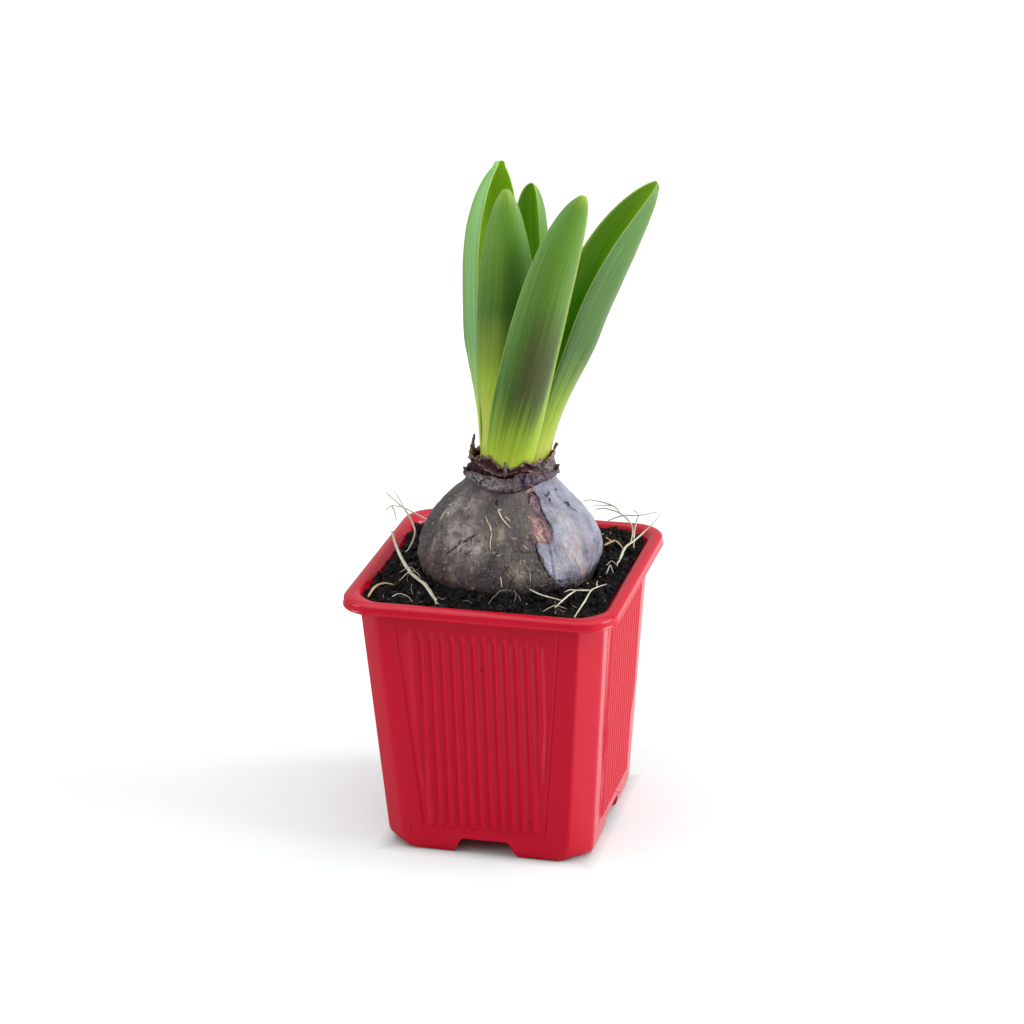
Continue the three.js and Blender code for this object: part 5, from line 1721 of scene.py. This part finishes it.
def collarFinish(name, look):
    material, tree, shader = newMaterial(name, Specular_IOR_Level=0.28)
    place = objectPlace(tree)
    fine = noiseAt(tree, place, 700.0, 5.0, 0.7, 0.4)
    high = readNumber(tree, "collarHigh")
    shade = mottled(tree, place, 260.0, 1800.0, 0.95, look["first"], look["second"])["Color"]
    shade = layOn(tree, shade, look["pale"], readNumber(tree, "pale"), fade(tree, fine, 0.38, 0.6, 0.15))
    shade = layOn(tree, shade, look["violet"], readNumber(tree, "violet"), 0.6)
    silver = fade(tree, noiseAt(tree, place, 420.0, 4.0, 0.6, 0.8), 0.56, 0.68)
    shade = layOn(tree, shade, look["silver"], silver, 0.4)
    # painted shade on the inner face and between the folds
    shade = layOn(tree, shade, look["deep"], readNumber(tree, "deep"), 0.9)
    shade = layOn(tree, shade, look["low"], ramp(tree, high, [(0.0, 1.0), (0.16, 0.6), (0.3, 0.0)]), 0.9)
    # lighter lip and rolls: real beige torn edges, broken into pale spots that are partly painted glints
    shade = layOn(tree, shade, look["edge"], fade(tree, high, 0.87, 0.94), fade(tree, fine, 0.3, 0.6, 0.3))
    shade = layOn(tree, shade, look["edge"], readNumber(tree, "roll"), fade(tree, fine, 0.42, 0.6, 0.1, 0.9))
    # painted shade along the grooves between the rolls
    shade = layOn(tree, shade, look["deep"], readNumber(tree, "grooveShade"), 0.95)
    # dark spots, in the same darkest colour
    spots = fade(tree, noiseAt(tree, place, 900.0, 3.0, 0.6), 0.54, 0.64, 0.0, 0.9)
    grain = noiseAt(tree, stretched(tree, place, (1100.0, 1100.0, 420.0)), 1.0, 5.0, 0.65, 0.6)
    height = calc(tree, "MULTIPLY_ADD", fine, 1.4, grain)
    plug(tree, shader, {
        "Base Color": layOn(tree, shade, look["deep"], spots), "Roughness": calc(tree, "MULTIPLY_ADD", fine, 0.4, 0.2),
        "Normal": bumpFrom(tree, height, 0.8, 0.0005),
    })
    return material


# each look's darkest colour paints shade inside the ring and in its grooves, and also makes dark spots
collarLooks = {
    "lower": palette(
        first=(84, 74, 76), second=(28, 18, 22), silver=(176, 172, 174), pale=(174, 170, 166),
        violet=(134, 118, 142), low=(50, 12, 22), edge=(104, 80, 74), deep=(30, 9, 15),
    ),
    "upper": palette(
        first=(66, 26, 32), second=(26, 6, 11), silver=(104, 84, 86), pale=(160, 157, 162),
        violet=(84, 40, 52), low=(26, 7, 12), edge=(150, 124, 112), deep=(44, 5, 14),
    ),
}
for collarKey, collarPlan in collarPlans.items():
    collarSkin = collarFinish("drySkin_" + collarKey, collarLooks[collarKey])
    finishPiece(makeCollar(collarPlan), collarSkin, [collarPlan["name"]])

# torn tips: turn, radius from the neck's axis and height of each point
tornNubs = [
    ((-126, 13.1, 129), (-125.5, 13.4, 130.1)),
    ((-118, 13, 129.6), (-117, 13.3, 130.8)),
    ((-57, 13, 129), (-56.6, 13.4, 130.1)),
    ((-49, 14.8, 122.4), (-50, 15.2, 121.3)),
]
tipPlans = [
    strand(0.85, 0.9, (-160, 12.9, 126.6), (-164, 12.4, 128.4), (-166, 12, 130.2), (-167, 11.7, 132),
           (-167, 11.2, 134.4), taper=0.72, bumps=0.55),
    strand(0.6, 0.9, (-150, 13, 127), (-156, 12.7, 128.8), (-162, 12.4, 131), taper=0.5, bumps=0.5),
    strand(0.5, 0.8, (8, 13.2, 126.6), (10, 13.7, 127.8), (12, 14.4, 129.5), (13, 15.2, 131.1), taper=-0.1, bumps=0.15),
    *[strand(0.5, 0.9, *nub, taper=0.2, bumps=0.8) for nub in tornNubs],
    strand(0.55, 0.9, (-82.5, 14.2, 124.6), (-82, 14.3, 126.4), (-81.6, 14, 128.1), (-81.7, 13.6, 129.5),
           taper=0.25, bumps=0.6),
    strand(0.5, 0.8, (-166, 14.1, 121.6), (-166, 14.6, 122.4), (-165, 14.9, 123.4), taper=0.2, bumps=0.5),
    strand(0.6, 0.8, (13, 14.7, 121.4), (13, 15.2, 122.4), (14, 15.6, 123.8), taper=0.1, bumps=0.4),
]


def neckPoint(turn, radius, z):
    angle = math.radians(turn)
    axis = bulbPlan["neckAxis"]
    return axis[0] + radius * math.cos(angle), axis[1] + radius * math.sin(angle), z


tipStrands = [
    {**plan, "lies": False, "points": [neckPoint(*p) for p in plan["points"]]} for plan in tipPlans
]
tipFinish = rootFinish("tornTip", colour(118, 98, 88), colour(48, 26, 26), colour(24, 9, 12))
finishPiece(makeStrands("tornTips", tipStrands, sides=10, spacing=0.3), tipFinish)


strawDetail = {"overPanel": 0.45, "flat": 0.7, "taper": 0.6, "bumps": 0.3}


def skinPoint(turn, z, lift):
    radius = alongStops([(high, wide) for wide, high in bulbPlan["outline"]], z, shareAt)
    overPanel = strawDetail["overPanel"] if turn > bulbPlan["panelTurn"] else 0.0
    return bulbShape(radius + lift + overPanel, z, math.radians(turn))


# straws and fibres that lie on the bulb: radius, then turn, height and lift of each point
strawPlans = [
    (0.2, (-142.2, 108.4, 0.2), (-143.2, 110.3, 0.35), (-144.1, 112, 0.2)),
    (0.26, (-141, 111.2, 0.3), (-138.2, 111.5, 0.4), (-137, 110.9, 0.2)),
    (0.18, (-147, 112.6, 0.2), (-143, 113.5, 0.4), (-138.1, 114.4, 0.2)),
    (0.2, (-88.2, 115.4, 0.1), (-85.4, 114.4, 0.4), (-81.2, 112.9, 0.45), (-74.4, 110.6, 0.1)),
    (0.24, (-86.6, 115.4, 0.4), (-85, 115.1, 0.5), (-83.6, 115.2, 0.3)),
    (0.16, (-80.3, 113.6, 0.2), (-77.5, 113.2, 0.4), (-74.8, 112.4, 0.2)),
    (0.16, (-98.4, 113.4, 0.1), (-94.8, 112.3, 0.3), (-91.2, 110.8, 0.3), (-89.4, 109.2, 0.2)),
    (0.22, (-91.5, 111.2, 0.3), (-90.4, 110.4, 0.4), (-89.4, 109.9, 0.2)),
    (0.14, (-89, 109.3, 0.2), (-89.4, 107.6, 0.3), (-88.9, 106, 0.3), (-88.6, 104.2, 0.1)),
    (0.22, (-82.2, 98.4, 0.1), (-81.2, 96.4, 0.4), (-80.8, 94, 0.5), (-80.4, 91.4, 0.3)),
    (0.14, (-134.8, 106.4, 0.1), (-133.4, 104.4, 0.3), (-134.5, 102.6, 0.1)),
    (0.2, (-84.4, 103.3, 0.2), (-82.5, 103.4, 0.3), (-80.9, 104, 0.2)),
    (0.15, (-39.5, 103.4, 0.1), (-37.2, 101.6, 0.3), (-35.2, 98.4, 0.3), (-30.5, 96.3, 0.2)),
    (0.14, (-29.6, 102.5, 0.1), (-33, 101, 0.3), (-31.1, 99.2, 0.3), (-30, 96.4, 0.2)),
    (0.13, (-64, 99.6, 0.1), (-63.4, 96.6, 0.3), (-63.6, 92.5, 0.3)),
    (0.13, (-53.5, 109.4, 0.3), (-51, 107.2, 0.4), (-48.4, 105.4, 0.2)),
    (0.12, (-56.5, 108.6, 0.3), (-54.4, 106.6, 0.4), (-53.4, 104.9, 0.2)),
]
strawStrands = [
    strand(radius, strawDetail["flat"], *[skinPoint(*p) for p in points],
           taper=strawDetail["taper"], bumps=strawDetail["bumps"], lies=False)
    for radius, *points in strawPlans
]
strawOnSkin = rootFinish("skinStraw", colour(240, 226, 204), colour(204, 178, 142), colour(120, 90, 64))
finishPiece(makeStrands("skinStraws", strawStrands, sides=6, spacing=0.35), strawOnSkin)


# the floor and the light

stagePlan = {
    "size": 8.0, "floor": (0.62, 0.68, 0.68, 1), "farFloor": (0.7, 0.7, 0.7, 1), "glow": (0.95, 1.0, 1.0, 1),
    "farGlow": (1.0, 1.0, 1.0, 1), "glowStrength": 0.29, "footHalf": 0.0315, "footSoft": 0.006, "tintReach": 0.125,
    "glossFront": 1.0, "glossLeft": 0.75, "glossRight": 0.0, "glossHalf": 0.03, "frontFrom": 0.5, "frontTo": 0.88,
    "sky": 0.24, "seenSky": 1.0, "glossSky": 0.6,
    "suns": [
        {"name": "keySun", "from": (1.0, 0.1, 0.35), "strength": 2.9, "angle": 36, "tint": (1.0, 0.99, 0.98)},
        {"name": "topSun", "from": (0.1, -0.15, 1.0), "strength": 2.2, "angle": 95, "tint": (1.0, 1.0, 1.0)},
        {"name": "leftSun", "from": (-1.0, -0.5, 0.3), "strength": 0.9, "angle": 24, "tint": (0.97, 0.985, 1.0)},
    ],
}


def floorFinish():  # half lit, half glowing, so that coloured bounce light stays faint; dark under the pot
    material, tree, shader = newMaterial("paleFloor", Roughness=1.0, Specular_IOR_Level=0.0)
    parts = partsOf(tree, objectPlace(tree))
    widest = calc(tree, "MAXIMUM", calc(tree, "ABSOLUTE", parts[0]), calc(tree, "ABSOLUTE", parts[1]))
    # painted against bounce light: near the pot the floor is tinted cyan, against the red light the pot throws onto it
    far = fade(tree, calc(tree, "DIVIDE", widest, stagePlan["tintReach"]), 0.35, 1.0)
    foot = stagePlan["footHalf"]
    plug(tree, shader, {
        "Base Color": layOn(tree, stagePlan["floor"], stagePlan["farFloor"], far),
        "Emission Color": layOn(tree, stagePlan["glow"], stagePlan["farGlow"], far),
        "Emission Strength": mapRange(tree, widest, foot, foot + stagePlan["footSoft"], 0.0, stagePlan["glowStrength"]),
    })
    apart = calc(tree, "SQRT", calc(tree, "ADD", product(tree, parts[0], parts[0]), product(tree, parts[1], parts[1])))
    inFront = calc(tree, "DIVIDE", product(tree, parts[1], -1.0), apart)
    front = mapRange(tree, inFront, stagePlan["frontFrom"], stagePlan["frontTo"], 0.0, stagePlan["glossFront"])
    reach = stagePlan["glossHalf"]
    beside = mapRange(tree, parts[0], -reach, reach, stagePlan["glossLeft"], stagePlan["glossRight"])
    ray = tree.nodes.new("ShaderNodeLightPath")
    dimmed = product(tree, ray.outputs["Is Glossy Ray"], calc(tree, "MAXIMUM", front, beside))
    black = putNode(tree, "ShaderNodeBsdfDiffuse", {"Color": (0, 0, 0, 1)})
    mixed = putNode(tree, "ShaderNodeMixShader", {0: dimmed, 1: shader.outputs[0], 2: black.outputs[0]})
    output = next(node for node in tree.nodes if node.bl_idname == "ShaderNodeOutputMaterial")
    plug(tree, output, {"Surface": mixed.outputs[0]})
    return material


def makeStage():
    half = stagePlan["size"] / 2
    mesh = bpy.data.meshes.new("floor")
    mesh.from_pydata([(-half, -half, 0), (half, -half, 0), (half, half, 0), (-half, half, 0)], [], [(0, 1, 2, 3)])
    floor = placeObject("floor", mesh)
    mesh.materials.append(floorFinish())
    world = bpy.data.worlds.new("studio")
    world.use_nodes = True
    tree = world.node_tree
    ray = tree.nodes.new("ShaderNodeLightPath")
    brighter = stagePlan["seenSky"] - stagePlan["sky"]
    strength = calc(tree, "MULTIPLY_ADD", ray.outputs["Is Camera Ray"], brighter, stagePlan["sky"])
    glossier = stagePlan["glossSky"] - stagePlan["sky"]
    strength = calc(tree, "MULTIPLY_ADD", ray.outputs["Is Glossy Ray"], glossier, strength)
    plug(tree, tree.nodes["Background"], {0: (1, 1, 1, 1), 1: strength})
    bpy.context.scene.world = world
    for sun in stagePlan["suns"]:
        data = bpy.data.lights.new(sun["name"], "SUN")
        data.energy = sun["strength"]
        data.angle = math.radians(sun["angle"])
        data.color = sun["tint"]
        lamp = placeObject(sun["name"], data)
        lamp.location = Vector(sun["from"])
        lamp.rotation_euler = (-Vector(sun["from"])).to_track_quat("-Z", "Y").to_euler()


makeStage()
print("floor and lights set")
bpy.context.scene.view_settings.view_transform = "Standard"
